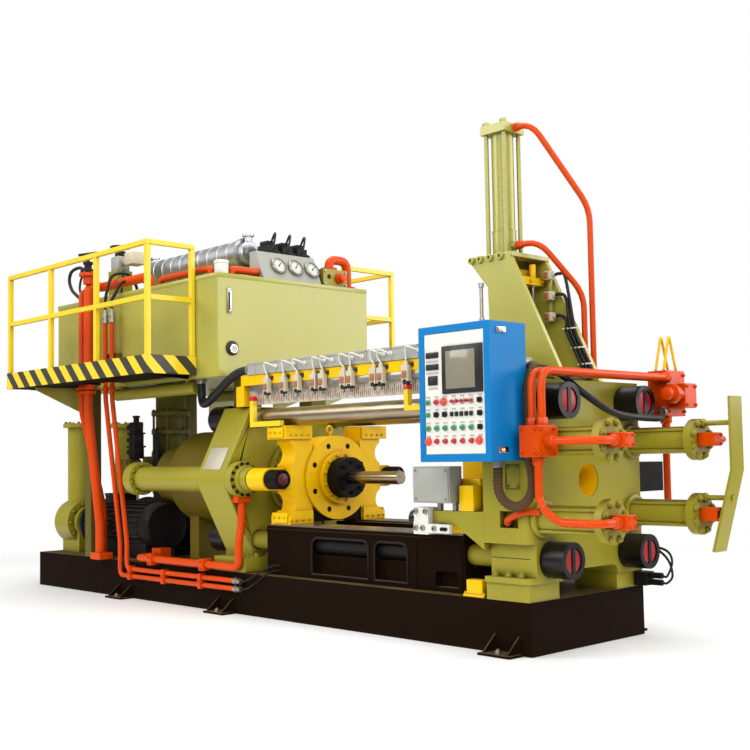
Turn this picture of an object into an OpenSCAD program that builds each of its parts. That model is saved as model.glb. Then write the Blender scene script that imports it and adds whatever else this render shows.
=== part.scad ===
// Horizontal aluminium extrusion press with overhead oil tank, top shear and
// hanging control cabinet. X runs along the press axis toward the exit side,
// Z is up, and the origin is the middle of the base underside.

/* [Base and frame] */
// width of the welded base
base_w = 1170; // [1160:10:1240]
// height of the welded base
base_h = 315; // [300:5:330]
// height of the press axis above the floor
axis_z = 1030; // [1020:2:1040]
// clear distance between the platens
platen_gap = 2490; // [2470:5:2510]
// thickness of both platens along the axis
platen_t = 350; // [330:5:370]
// width of the front platen
front_w = 1200; // [1180:10:1220]
// half height of the front platen
front_hh = 610; // [600:2:620]
// half width of the rear platen across its points
hex_y = 730; // [720:2:760]
// half width of the rear platen at its top
hex_t = 470; // [460:2:500]
// half height of the rear platen
hex_h = 560; // [550:2:570]
// tie rod diameter
rod_d = 136; // [120:2:140]
// half spacing of the tie rods across
rod_y = 400; // [390:2:410]
// half spacing of the tie rods upright
rod_z = 473; // [470:1:480]
// tie rod nut diameter
nut_d = 220; // [200:2:230]
// tie rod nut length
nut_l = 170; // [140:5:200]

/* [Ram and crosshead] */
// main ram diameter
ram_d = 460; // [420:5:480]
// main cylinder drum diameter
drum_d = 790; // [760:5:820]
// main cylinder drum length
drum_l = 920; // [900:10:940]
// crosshead hub diameter
hub_d = 644; // [620:4:660]
// crosshead hub length along the axis
hub_l = 200; // [190:5:220]
// half spacing of the side cylinders
side_y = 597; // [590:1:604]
// side cylinder barrel diameter
side_d = 204; // [190:2:216]
// side cylinder plunger diameter
side_rod_d = 110; // [96:2:120]
// stem diameter
stem_d = 95; // [80:1:98]
// stem length in front of its holder
stem_l = 536; // [520:2:550]
// working stroke of the crosshead
stroke = 1200; // [1100:10:1210]

/* [Container] */
// container housing length along the axis
cont_l = 320; // [300:5:325]
// container opening stroke
cont_stroke = 200; // [150:5:205]
// half spacing of the container cylinders across
cyl_y = 474; // [470:1:480]
// half spacing of the container cylinders upright
cyl_z = 230; // [226:1:236]
// container cylinder barrel diameter
cyl_d = 170; // [150:2:176]
// container cylinder length with its cap
cyl_l = 510; // [480:5:540]
// container cylinder cap diameter
cap_d = 258; // [240:2:264]

/* [Shear] */
// height of the shear tower over the front platen
tower_h = 860; // [800:10:920]
// half width of the shear tower
tower_y = 200; // [190:2:210]
// shear cylinder length
shear_l = 900; // [700:10:1000]

/* [Control cabinet] */
// cabinet width along the press
cab_w = 561; // [520:1:570]
// cabinet depth
cab_d = 330; // [280:2:360]
// cabinet height
cab_h = 808; // [760:2:840]

/* [Pumps, oil tank and walkway] */
// length of the pump motors
motor_l = 1160; // [1140:5:1180]
// tank length
tank_l = 2583; // [2540:4:2640]
// tank width
tank_w = 1605; // [1580:2:1640]
// how far the tank sits off the press axis, away from the operator
tank_off = 162; // [150:2:170]
// tank height
tank_h = 818; // [780:2:860]
// height of the tank floor
tank_z = 1836; // [1826:2:1850]
// width of the operator side walkway
walk_w = 455; // [440:5:480]
// width of the far walkway
far_walk_w = 640; // [600:5:680]
// handrail height above the walkway
rail_h = 1024; // [980:4:1060]

/* [Hidden] */

$fn = 64;
fit = 0.5;
slide = 1;
// clearance of the stem in the container's bore
bore_gap = 10;
olive = [0.65, 0.65, 0.27];
yellow = [0.9, 0.72, 0.02];
rail_yellow = [1, 0.9, 0.16];
orange = [0.94, 0.3, 0.06];
dark = [0.12, 0.09, 0.07];
steel = [0.6, 0.57, 0.52];
black = [0.08, 0.07, 0.07];
grey = [0.7, 0.7, 0.68];

pump_end = 340;
pump_gap = 250;
motor_gap = 230;
platen_over = 10;
base_l = pump_end + pump_gap + motor_l + motor_gap + drum_l + 2 * platen_t + platen_gap - platen_over;
fp_x1 = base_l / 2 + platen_over;
fp_x0 = fp_x1 - platen_t;
rp_x1 = fp_x0 - platen_gap;
rp_x0 = rp_x1 - platen_t;
fp_y = front_w / 2;
fp_top = axis_z + front_hh;
rp_top = axis_z + hex_h;
rp_foot = axis_z - hex_h;
base_y = base_w / 2;
bed_y = 500;
bed_x0 = rp_x1 + 230;
bed_x1 = fp_x0 - 250;
bed_z = axis_z - 352;
way_z = bed_z + 12;
drum_x0 = rp_x0 - drum_l;
neck_x0 = drum_x0 - 390;
gland_x = rp_x1 + 200;
gland_d = side_d + 72;
ch_x0 = rp_x1 + 290;
ch_x1 = ch_x0 + hub_l;
arm_x0 = gland_x + 10;
arm_x1 = ch_x0 + 120;
ring_x = ch_x1 + 40;
holder_x = ring_x + 110;
stem_x = holder_x + stem_l;
ram_x0 = neck_x0 + 150;
side_x0 = rp_x0 - 1050;
shoe_top = axis_z + rod_z - rod_d / 2 - 7;
ct_x1 = fp_x0 - 80;
ct_x0 = ct_x1 - cont_l;
cyl_x1 = fp_x1 + cyl_l;
cyl_rod_d = 70;
cab_x1 = fp_x1 + 26;
cab_x0 = cab_x1 - cab_w;
cab_y1 = -fp_y - 20;
cab_y0 = cab_y1 - cab_d;
cab_z0 = axis_z + 120;
cab_z1 = cab_z0 + cab_h;
tank_x1 = rp_x1 - 190;
tank_x0 = tank_x1 - tank_l;
tank_yn = tank_off - tank_w / 2;
tank_yf = tank_off + tank_w / 2;
tank_top = tank_z + tank_h;
walk_z = tank_z + 58;
walk_x1 = tank_x1 - 302;
walk_x0 = walk_x1 - 2386;
rail_z = walk_z + rail_h;
mid_z = walk_z + 590;
rail_t = 40;
kick_t = 8;
weld = 0.3;
post_x = [for (i = [0 : 3]) walk_x0 + 2 + i * (walk_x1 - walk_x0 - rail_t - 2) / 3];
tow_x = fp_x0 - 282;
tow_z = fp_top + tower_h;
beam_y = 490;
beam_z = fp_top + 110;
beam_x0 = rp_x1 - 60;
duct_x0 = rp_x1 + 40;
beam_x1 = fp_x0 + 50;
pump_x = -base_l / 2 + pump_end;
pump_y = 260;
pump_z = base_h + 285;
motor_x1 = drum_x0 - motor_gap;
riser_x = tank_x0 + 700;
leg_x0 = tank_x0 + 400;
leg_x1 = leg_x0 + 110;
feed_x = drum_x0 - 130;

module box(x0, x1, y0, y1, z0, z1) {
  translate([x0, y0, z0])
    cube([x1 - x0, y1 - y0, z1 - z0]);
}

module xcyl(x0, x1, y, z, d) {
  translate([x0, y, z])
    rotate([0, 90, 0])
      cylinder(d = d, h = x1 - x0);
}

module zcyl(z0, z1, x, y, d) {
  translate([x, y, z0])
    cylinder(d = d, h = z1 - z0);
}

module both() {
  children();
  mirror([0, 1, 0])
    children();
}

function unit(v) = v / norm(v);

// centre line through corner points p, each corner rounded off over the length r
function path(p, r) = [
  p[0],
  for (i = [1 : len(p) - 2])
    let (a = unit(p[i - 1] - p[i]), b = unit(p[i + 1] - p[i]))
      for (s = [0 : 0.25 : 1])
        p[i] + pow(1 - s, 2) * r * a + pow(s, 2) * r * b,
  p[len(p) - 1]
];

// round tube along a centre line; ref is a direction the line never follows
module tube(pts, d, ref, n = 12) {
  m = len(pts);
  t = [for (i = [0 : m - 1]) unit(pts[min(i + 1, m - 1)] - pts[max(i - 1, 0)])];
  p = [for (i = [0 : m - 1]) for (k = [0 : n - 1])
    let (w = unit(cross(t[i], ref)), q = cross(t[i], w))
    pts[i] + d / 2 * (cos(360 * k / n) * w + sin(360 * k / n) * q)];
  f = [for (i = [0 : m - 2]) for (k = [0 : n - 1])
    [i * n + k, i * n + (k + 1) % n, (i + 1) * n + (k + 1) % n, (i + 1) * n + k]];
  polyhedron(p, concat(f, [[for (k = [n - 1 : -1 : 0]) k], [for (k = [0 : n - 1]) (m - 1) * n + k]]));
}

module base_frame() {
  color(dark)
    box(-base_l / 2, base_l / 2, -base_y, base_y, 0, base_h);
}

module base_lugs() {
  color(dark)
    both()
      for (x = [-base_l / 4 + 60, 20, base_l / 2 - 190]) {
        box(x - 125, x + 125, base_y, base_y + 130, 0, 14);
        for (s = [-100, 86])
          translate([x + s, base_y, 14])
            rotate([90, 0, 90])
              linear_extrude(14)
                polygon([[0, 0], [120, 0], [0, 100]]);
      }
}

// window through a side plate, its two upper corners round
module window(x0, x1, z0, z1, r) {
  box(x0, x1, bed_y - 60, bed_y + 1, z0, z1 - r);
  box(x0 + r, x1 - r, bed_y - 60, bed_y + 1, z1 - r - 1, z1);
  for (x = [x0 + r, x1 - r])
    translate([x, bed_y - 60, z1 - r])
      rotate([-90, 0, 0])
        cylinder(r = r, h = 61);
}

module bed() {
  color(dark)
    difference() {
      box(bed_x0, bed_x1, -bed_y, bed_y, base_h, bed_z);
      both() {
        window(bed_x0 + 520, bed_x0 + 1120, base_h + 30, bed_z - 70, 60);
        window(bed_x0 + 1180, bed_x0 + 1500, base_h + 30, bed_z - 70, 60);
        window(bed_x1 - 260, bed_x1 - 60, base_h + 30, base_h + 130, 30);
        xcyl(bed_x0 - 1, bed_x1 + 1, rod_y, axis_z - rod_z, rod_d + 2 * fit + 30);
      }
      box(bed_x0 - 1, bed_x1 + 1, -200, 200, bed_z - 120, bed_z + 1);
    }
}

module guide_ways() {
  color(steel)
    both()
      box(bed_x0 + 20, bed_x1 - 20, 260, bed_y - 10, bed_z, way_z);
}

module rear_platen() {
  color(olive)
    difference() {
      union() {
        translate([rp_x0, 0, axis_z])
          rotate([90, 0, 90])
            linear_extrude(platen_t)
              polygon([[-hex_y, -50], [-hex_y, 50], [-hex_t, hex_h], [hex_t, hex_h], [hex_y, 50],
                [hex_y, -50], [hex_t, -hex_h], [-hex_t, -hex_h]]);
        both() {
          box(rp_x0, rp_x1 + 50, 280, base_y, base_h, base_h + 115);
          box(rp_x0, rp_x1, 280, hex_t, base_h, rp_foot + 30);
        }
      }
      xcyl(rp_x0 - 1, rp_x1 + 1, 0, axis_z, ram_d + 2 * fit);
      both() {
        xcyl(rp_x0 - 1, rp_x1 + 1, side_y, axis_z, side_rod_d + 2 * fit);
        for (s = [-1, 1])
          xcyl(rp_x0 - 1, rp_x1 + 1, rod_y, axis_z + s * rod_z, rod_d + 2 * fit);
      }
    }
}

module main_cylinder() {
  color(olive)
    difference() {
      union() {
        xcyl(drum_x0, rp_x0, 0, axis_z, drum_d);
        xcyl(neck_x0, drum_x0 + 1, 0, axis_z, ram_d + 110);
        box(drum_x0 + 60, drum_x0 + 190, -220, 220, base_h, axis_z - drum_d / 2 + 80);
      }
      xcyl(neck_x0 + 70, rp_x0 + 1, 0, axis_z, ram_d + 2 * fit);
    }
}

module side_cylinders() {
  color(olive)
    both()
      difference() {
        union() {
          xcyl(side_x0, rp_x0, side_y, axis_z, side_d);
          xcyl(side_x0 - 60, side_x0 + 50, side_y, axis_z, side_d + 76);
        }
        xcyl(side_x0 + 20, rp_x0 + 1, side_y, axis_z, side_rod_d + 2 * fit);
      }
}

module glands() {
  color(olive) {
    difference() {
      union() {
        xcyl(rp_x1, rp_x1 + 50, 0, axis_z, ram_d + 160);
        xcyl(rp_x1 + 49, rp_x1 + 110, 0, axis_z, ram_d + 90);
      }
      xcyl(rp_x1 - 1, rp_x1 + 111, 0, axis_z, ram_d + 2 * fit);
    }
    both()
      difference() {
        union() {
          xcyl(rp_x1, rp_x1 + 80, side_y, axis_z, gland_d);
          xcyl(rp_x1 + 79, rp_x1 + 130, side_y, axis_z, side_d + 10);
          xcyl(rp_x1 + 129, gland_x, side_y, axis_z, side_d - 24);
        }
        xcyl(rp_x1 - 1, gland_x + 1, side_y, axis_z, side_rod_d + 2 * fit);
      }
  }
}

module prefill_valve() {
  color(olive) {
    box(neck_x0 - 360, neck_x0, -190, 190, axis_z - 130, axis_z + 190);
    for (z = [axis_z + 190, axis_z + 390, axis_z + 560])
      zcyl(z, z + 40, neck_x0 - 180, 0, 350);
    zcyl(axis_z + 190, tank_z, neck_x0 - 180, 0, 270);
  }
}

module front_platen() {
  color(olive)
    difference() {
      union() {
        box(fp_x0, fp_x1 - 50, -fp_y, fp_y, axis_z - front_hh, fp_top);
        box(fp_x1 - 51, fp_x1, -fp_y + 50, fp_y - 50, axis_z - front_hh, fp_top);
        both() {
          zcyl(axis_z - front_hh, fp_top, fp_x1 - 50, fp_y - 50, 100);
          box(fp_x0, fp_x1 - 20, 300, base_y, base_h, base_h + 140);
          box(fp_x0, fp_x1 - 40, 320, base_y - 40, base_h, axis_z - front_hh + 20);
        }
      }
      xcyl(fp_x0 - 1, fp_x1 + 1, 0, axis_z - 10, 206);
      box(fp_x0 - 1, fp_x1 + 1, -230, 230, axis_z - front_hh - 1, axis_z - front_hh + 60);
      for (y = [-230, 230])
        xcyl(fp_x0 - 1, fp_x1 + 1, y, axis_z - front_hh, 120);
      both() {
        for (s = [-1, 1]) {
          xcyl(fp_x0 - 1, fp_x1 + 1, rod_y, axis_z + s * rod_z, rod_d + 2 * fit);
          xcyl(fp_x0 - 1, fp_x1 + 1, cyl_y, axis_z + s * cyl_z, cyl_rod_d + 10);
        }
        box(fp_x0 + 130, fp_x0 + 270, fp_y - 60, fp_y + 1, axis_z - 280, axis_z - 180);
        box(fp_x0 + 180, fp_x1 - 60, fp_y - 12, fp_y + 1, axis_z - 50, axis_z + 100);
        box(fp_x0 - 1, fp_x1 + 1, fp_y - 65, fp_y + 1, base_h + 140, axis_z - 375);
      }
    }
}

module tie_rods_upper() {
  color(steel)
    both()
      xcyl(rp_x0, fp_x1, rod_y, axis_z + rod_z, rod_d);
}

module tie_rods_lower() {
  color(olive)
    both()
      xcyl(rp_x0, fp_x1, rod_y, axis_z - rod_z, rod_d);
}

// slotted nut on a tie rod end, its open end with a round recess on each side of a bar
module slotted_nut() {
  difference() {
    cylinder(d = nut_d, h = nut_l);
    difference() {
      translate([0, 0, nut_l - 14])
        cylinder(d = rod_d + 20, h = 15);
      translate([-15, -nut_d / 2, nut_l - 20])
        cube([30, nut_d, 30]);
    }
  }
}

module tie_rod_nuts() {
  color(black)
    both()
      for (s = [-1, 1]) {
        translate([fp_x1, rod_y, axis_z + s * rod_z])
          rotate([0, 90, 0])
            rotate([0, 0, 90])
              slotted_nut();
        translate([rp_x0, rod_y, axis_z + s * rod_z])
          rotate([0, -90, 0])
            rotate([0, 0, 90])
              slotted_nut();
      }
}

module container_cylinders() {
  color(olive)
    both()
      for (s = [-1, 1])
        translate([0, cyl_y, axis_z + s * cyl_z])
          difference() {
            union() {
              xcyl(fp_x1, cyl_x1, 0, 0, cyl_d);
              xcyl(cyl_x1 - 50, cyl_x1, 0, 0, cap_d);
              for (a = [45 : 90 : 315])
                rotate([a, 0, 0])
                  xcyl(fp_x1, cyl_x1 - 40, 0, cyl_d / 2 + 6, 22);
            }
            xcyl(fp_x1 - 1, cyl_x1 - 70, 0, 0, cyl_rod_d + 2 * fit);
          }
}

module port_blocks() {
  color(orange) {
    both()
      for (s = [-1, 1])
        translate([0, 0, axis_z + s * cyl_z])
          box(cyl_x1, cyl_x1 + 120, cyl_y - 45, cyl_y + 45, -42, 42);
    difference() {
      translate([0, -side_y, axis_z - gland_d / 2])
        box(rp_x1 + 5, rp_x1 + 75, -62, 62, -40, 16);
      xcyl(rp_x1, rp_x1 + 80, -side_y, axis_z, gland_d);
    }
    box(riser_x - 10, riser_x + 150, -base_y - 110, -base_y + 28, base_h, base_h + 60);
    box(feed_x - 70, feed_x + 70, -base_y + 140, -base_y + 250, base_h, base_h + 110);
  }
}

module manifolds() {
  color(orange) {
    box(fp_x1 - 75, fp_x1 + 230, -fp_y - 18, -fp_y, axis_z + 150, axis_z + 310);
    box(fp_x1 + 90, fp_x1 + 230, -fp_y - 180, -fp_y - 18, axis_z + 140, axis_z + 322);
    box(fp_x1, fp_x1 + 45, fp_y - 70, fp_y + 240, axis_z + 420, axis_z + 570);
    box(fp_x1 + 45, fp_x1 + 190, fp_y + 20, fp_y + 240, axis_z + 390, axis_z + 690);
    box(fp_x1 + 190, fp_x1 + 300, fp_y + 60, fp_y + 200, axis_z + 440, axis_z + 600);
  }
}

module front_pipes() {
  y = fp_y + 100;
  za = axis_z + cyl_z;
  zb = axis_z - cyl_z;
  color(orange) {
    for (x = [fp_x1 + 125, fp_x1 + 195])
      tube(path([[x, -y, axis_z + 322], [x, -y, axis_z + 640], [x, fp_y + 20, axis_z + 640]], 90),
        48, [1, 0, 0]);
    tube(path([[fp_x1 + 230, -y, za], [cyl_x1 + 60, -y, za], [cyl_x1 + 60, -cyl_y - 45, za]], 70),
      48, [0, 0, 1]);
    tube(path([[fp_x1 + 160, -y, axis_z + 140], [fp_x1 + 160, -y, axis_z - 130], [fp_x1 + 290, -y, zb],
      [cyl_x1 + 60, -y, zb], [cyl_x1 + 60, -cyl_y - 45, zb]], 70), 48, [-0.6, 0.5, 0.6]);
    tube(path([[fp_x1 + 90, fp_y + 150, axis_z + 390], [fp_x1 + 90, fp_y + 150, zb],
      [cyl_x1 + 60, fp_y + 150, zb], [cyl_x1 + 60, cyl_y + 45, zb]], 80), 48, [-0.6, 0.5, 0.6]);
    tube(path([[fp_x1 + 150, fp_y + 70, axis_z + 390], [fp_x1 + 150, fp_y + 70, za],
      [cyl_x1 + 60, fp_y + 70, za], [cyl_x1 + 60, cyl_y + 45, za]], 60), 48, [-0.6, 0.5, 0.6]);
    tube(path([[tow_x + 112, 0, tow_z + 75], [tow_x + 290, 0, tow_z + 75], [tow_x + 460, 240, tow_z - 270],
      [tow_x + 460, 240, fp_top]], 100), 40, [-0.6, 0.5, 0.6]);
    tube(path([[tow_x + 112, 0, tow_z + shear_l - 30], [tow_x + 250, 0, tow_z + shear_l - 30],
      [tow_x + 490, 290, tow_z + 300], [tow_x + 490, 290, fp_top]], 100), 40, [-0.6, 0.5, 0.6]);
  }
}

module valve_handles() {
  color(yellow)
    for (x = [fp_x1 + 95, fp_x1 + 155])
      translate([x, fp_y + 120, axis_z + 690])
        tube(path([[0, -75, 2.8], [0, 0, 240], [0, 75, 2.8]], 30), 18, [1, 0, 0], 8);
}

module valve_stack() {
  z = base_h + 10;
  h = axis_z - front_hh - 7 - z;
  color(black) {
    box(fp_x1 - 20, fp_x1 + 70, base_y - 95, base_y, z, z + h);
    for (k = [1, 3])
      xcyl(fp_x1 + 69, fp_x1 + 165, base_y - 48, z + k * h / 4, h / 2 - 4);
  }
}

module guard_plate() {
  color(olive) {
    translate([0, cyl_y + 90, 0])
      rotate([90, 0, 0])
        linear_extrude(140)
          polygon([[cyl_x1 + 100, axis_z - 460], [cyl_x1 + 236, axis_z + 40], [cyl_x1 + 236, axis_z + 490],
            [cyl_x1 + 220, axis_z + 490], [cyl_x1 + 220, axis_z + 44], [cyl_x1 + 82, axis_z - 455]]);
    xcyl(cyl_x1, cyl_x1 + 221, cyl_y + 20, axis_z + cyl_z + 100, 32);
    xcyl(cyl_x1, cyl_x1 + 202, cyl_y + 20, axis_z - cyl_z + 100, 32);
  }
}

module shear_tower() {
  color(olive) {
    both()
      translate([0, tower_y, 0])
        rotate([90, 0, 0])
          linear_extrude(36)
            polygon([[fp_x0 - 250, fp_top], [fp_x1 - 10, fp_top], [fp_x0 - 70, tow_z - 30],
              [fp_x0 - 420, tow_z - 30], [fp_x0 - 270, tow_z - 210]]);
    box(tow_x - 150, tow_x + 220, -tower_y, tower_y, tow_z - 30, tow_z);
    box(fp_x0 - 250, fp_x0 - 210, -tower_y + 36, tower_y - 36, fp_top, tow_z - 30);
  }
}

module shear_head() {
  color(yellow) {
    box(fp_x0 - 210, fp_x0 - 150, -tower_y + 37, tower_y - 37, tow_z - 200, tow_z - 90);
    box(fp_x0 - 151, fp_x0 - 70, -tower_y + 37, tower_y - 37, tow_z - 200, tow_z - 150);
    zcyl(tow_z - 151, tow_z - 60, fp_x0 - 100, 60, 44);
  }
}

module shear_cylinder() {
  color(olive)
    translate([tow_x, 0, tow_z]) {
      zcyl(0, shear_l, 0, 0, 150);
      zcyl(0, 180, 0, 0, 160);
      box(-105, 105, -105, 105, shear_l - 60, shear_l);
      for (z = [75, shear_l - 30])
        xcyl(60, 112, 0, z, 60);
      for (x = [-76, 76])
        for (y = [-76, 76])
          zcyl(0, shear_l + 30, x, y, 30);
    }
}

module cabinet() {
  color([0.06, 0.45, 0.74])
    difference() {
      box(cab_x0, cab_x1, cab_y0, cab_y1, cab_z0, cab_z1);
      box(cab_x0 + 45, cab_x1 - 45, cab_y0 - 1, cab_y0 + 12, cab_z0 + 45, cab_z1 - 45);
    }
}

module cabinet_panel() {
  color([0.91, 0.91, 0.88])
    box(cab_x0 + 46, cab_x1 - 46, cab_y0 + 6, cab_y0 + 12, cab_z0 + 46, cab_z1 - 46);
}

module brackets() {
  color(olive) {
    for (z = [cab_z0 + 90, fp_top - 90])
      box(fp_x0 + 20, fp_x1 - 80, cab_y1, -fp_y, z, z + 60);
    translate([0, -fp_y + 60, 0])
      rotate([90, 0, 0])
        linear_extrude(60)
          polygon([[fp_x0, axis_z - 190], [fp_x0 - 430, axis_z - 190], [fp_x0 - 430, axis_z - 260],
            [fp_x0 - 230, axis_z - 280], [fp_x0, axis_z - 420]]);
  }
}

module lock_block() {
  color(grey) {
    box(fp_x0 - 560, fp_x0 - 430, -fp_y - 40, -fp_y + 55, axis_z - 340, axis_z - 170);
    xcyl(fp_x0 - 600, fp_x0 - 560, -fp_y + 8, axis_z - 240, 90);
  }
}

module junction_box() {
  color(grey) {
    box(fp_x0 - 540, fp_x0 - 220, -fp_y - 60, -fp_y + 55, axis_z - 140, axis_z + 90);
    for (x = [fp_x0 - 400, fp_x0 - 270])
      box(x, x + 30, -fp_y + 15, -fp_y + 45, axis_z - 190, axis_z - 140);
    box(fp_x0 + 180, fp_x0 + 290, -560, -450, fp_top, fp_top + 130);
  }
}

// routes of the cabinet's flexible conduit, the hose across the front platen and the hose from the tank
CONDUIT = [[2935, -730, 1149.5], [2935, -730, 1085], [2930, -729, 1020], [2940, -724, 955], [2980, -715, 905],
  [3040, -702, 885], [3098, -690, 905], [3132, -676, 955], [3138, -664, 1020], [3124, -656, 1090],
  [3109, -653, 1150], [3108, -651, 1230], [3108, -650, 1350], [3108, -650, 1470], [3109, -648, 1570],
  [3112, -622, 1655], [3095, -572, 1700], [3045, -525, 1713], [3010, -505, 1715], [2990.5, -505, 1715]];
FRONT_HOSE = [[2935, -449.5, 1715], [2935, -425, 1715], [2948, -390, 1716], [2985, -350, 1712],
  [3045, -312, 1692], [3105, -282, 1645], [3160, -245, 1582], [3212, -185, 1520], [3247, -100, 1464],
  [3265, 0, 1428], [3272, 120, 1411], [3275, 250, 1404], [3275, 370, 1401], [3270, 470, 1402],
  [3248, 540, 1420], [3223, 582, 1444], [3215, 602, 1450], [3215, 619.5, 1450]];
TANK_HOSE = [[249.5, -490, 1875], [225, -490, 1875], [190, -497, 1874], [145, -515, 1866], [100, -537, 1844],
  [50, -555, 1808], [0, -566, 1772], [-50, -568, 1740], [-110, -566, 1705], [-170, -562, 1675],
  [-230, -556, 1650], [-285, -548, 1634], [-335, -538, 1640], [-362, -529, 1680], [-370, -525, 1740],
  [-370, -525, 1800], [-370, -525, 1835.5]];

module conduit() {
  color([0.36, 0.29, 0.23])
    tube(CONDUIT, 60, [0.3, 1, 0.2], 10);
}

module front_hose() {
  color(black)
    tube(FRONT_HOSE, 45, [0.7, -0.2, 0.7], 10);
}

module tank_hose() {
  color(black)
    tube(TANK_HOSE, 70, [0.1, 1, 0.1], 10);
}

module oil_tank() {
  color(olive)
    box(tank_x0, tank_x1, tank_yn, tank_yf, tank_z, tank_top);
}

module tank_supports() {
  color(olive) {
    both() {
      box(rp_x0 + 60, rp_x0 + 220, 260, 420, rp_top, tank_z);
      box(leg_x0, leg_x1, base_y - 110, base_y, base_h, tank_z);
    }
    box(riser_x + 262, riser_x + 448, tank_yn - 53.7, tank_yn, tank_z + 250, tank_z + 290);
  }
}

module suction_pipe() {
  color(olive)
    both() {
      xcyl(leg_x1 + 370, rp_x0 - 290, 520, tank_z - 60, 110);
      for (x = [leg_x1 + 490, rp_x0 - 400])
        zcyl(tank_z - 60, tank_z, x, 520, 80);
    }
}

// things along both long sides of the tank, drawn outward from its wall
module tank_sides() {
  translate([0, tank_yn, 0])
    mirror([0, 1, 0]) {
      $w = walk_w;
      children();
    }
  translate([0, tank_yf, 0]) {
    $w = far_walk_w;
    children();
  }
}

module walkway() {
  color(dark)
    difference() {
      tank_sides() {
        box(walk_x0, walk_x1, 0, $w, walk_z - 30, walk_z);
        for (x = [walk_x0 + 100, walk_x0 + 1100, walk_x1 - 140])
          translate([x, 0, walk_z - 30])
            rotate([90, 0, 90])
              linear_extrude(40)
                polygon([[0, 0], [$w - 60, 0], [0, -26]]);
      }
      box(riser_x - 160, riser_x + 470, tank_yn - 140, tank_yn + 1, walk_z - 60, walk_z + 1);
    }
}

module kickplate() {
  color(yellow)
    tank_sides() {
      box(walk_x0, walk_x1 + kick_t, $w, $w + kick_t, walk_z - 30, walk_z + 116);
      box(walk_x1, walk_x1 + kick_t, 0, $w - weld, walk_z - 30, walk_z + 116);
    }
}

module handrail_posts() {
  color(rail_yellow)
    tank_sides() {
      for (x = post_x)
        box(x, x + rail_t, $w - rail_t, $w, walk_z, rail_z - rail_t);
      box(walk_x1 - rail_t, walk_x1, 2, 2 + rail_t, walk_z, rail_z - rail_t);
    }
}

module handrail_bars() {
  color(rail_yellow)
    tank_sides() {
      box(post_x[0], walk_x1, $w - rail_t, $w, rail_z - rail_t, rail_z);
      box(walk_x1 - rail_t, walk_x1, 2, $w - rail_t - weld, rail_z - rail_t, rail_z);
      for (i = [0 : 2])
        box(post_x[i] + rail_t, post_x[i + 1], $w - rail_t, $w, mid_z - rail_t, mid_z);
      box(walk_x1 - rail_t, walk_x1, 2 + rail_t, $w - rail_t, mid_z - rail_t, mid_z);
    }
}

module gauge_panel() {
  color(grey)
    translate([0, tank_off + 280, 0])
      rotate([90, 0, 0])
        linear_extrude(620)
          polygon([[tank_x1 - 190, tank_top], [tank_x1, tank_top], [tank_x1 - 100, tank_top + 240],
            [tank_x1 - 190, tank_top + 240]]);
}

module tank_valves() {
  color(black) {
    for (y = [-140, 20, 180])
      box(tank_x1 - 340, tank_x1 - 200, tank_off + y, tank_off + y + 110, tank_top, tank_top + 330);
    box(tank_x0 + 480, tank_x0 + 640, tank_yn + 260, tank_yn + 420, tank_top, tank_top + 300);
  }
  color(olive)
    box(tank_x1 - 190, tank_x1 - 20, tank_off + 320, tank_off + 590, tank_top, tank_top + 150);
  color([0.95, 0.95, 0.93])
    zcyl(tank_top, tank_top + 90, tank_x1 - 70, tank_yn + 90, 110);
}

module cooler() {
  color([0.75, 0.76, 0.78]) {
    xcyl(tank_x0 + 700, tank_x1 - 500, tank_off - 150, tank_top + 290, 240);
    for (x = [tank_x0 + 900, tank_x1 - 760])
      box(x, x + 60, tank_off - 240, tank_off - 60, tank_top, tank_top + 220);
  }
}

module pumps() {
  color(olive)
    both() {
      xcyl(pump_x - 260, pump_x, pump_y, pump_z, 420);
      xcyl(pump_x - 1, pump_x + 60, pump_y, pump_z, 300);
      box(pump_x - 260, pump_x + 60, pump_y - 120, pump_y + 120, base_h, pump_z - 60);
      zcyl(pump_z, tank_z - 320, pump_x - 130, pump_y, 240);
      zcyl(tank_z - 320, tank_z - 280, pump_x - 130, pump_y, 330);
      xcyl(pump_x - 320, pump_x - 259, pump_y, pump_z, 180);
    }
}

module motors() {
  color(black)
    both() {
      xcyl(pump_x + 60, pump_x + pump_gap + 1, pump_y, pump_z, 160);
      xcyl(pump_x + pump_gap, motor_x1, pump_y, pump_z, 400);
      box(pump_x + pump_gap + 80, motor_x1 - 120, pump_y - 150, pump_y + 150, base_h, pump_z - 140);
      box(pump_x + 2 * pump_gap, pump_x + 3 * pump_gap, pump_y - 90, pump_y + 90, pump_z + 170, pump_z + 270);
    }
}

module tank_pipes() {
  yt = tank_yn + 60;
  color(orange) {
    tube(path([[tank_x1 - 80, tank_yn + 190, tank_top], [tank_x1 - 80, tank_yn + 190, tank_top + 55],
      [tank_x1 - 80, tank_off - 340, tank_top + 55]], 40), 66, [1, 0, 0]);
    tube(path([[tank_x1 - 900, yt, tank_top], [tank_x1 - 900, yt, tank_top + 60],
      [tank_x1 - 160, yt, tank_top + 60], [tank_x1 - 160, yt, tank_top]], 50), 56, [0, 1, 0]);
    translate([tank_x1 - 100, tank_off, tank_top])
      tube(path([[0, 450, 150], [0, 450, 250], [0, 660, 250], [0, 660, 0]], 80), 80, [1, 0, 0]);
  }
}

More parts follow.
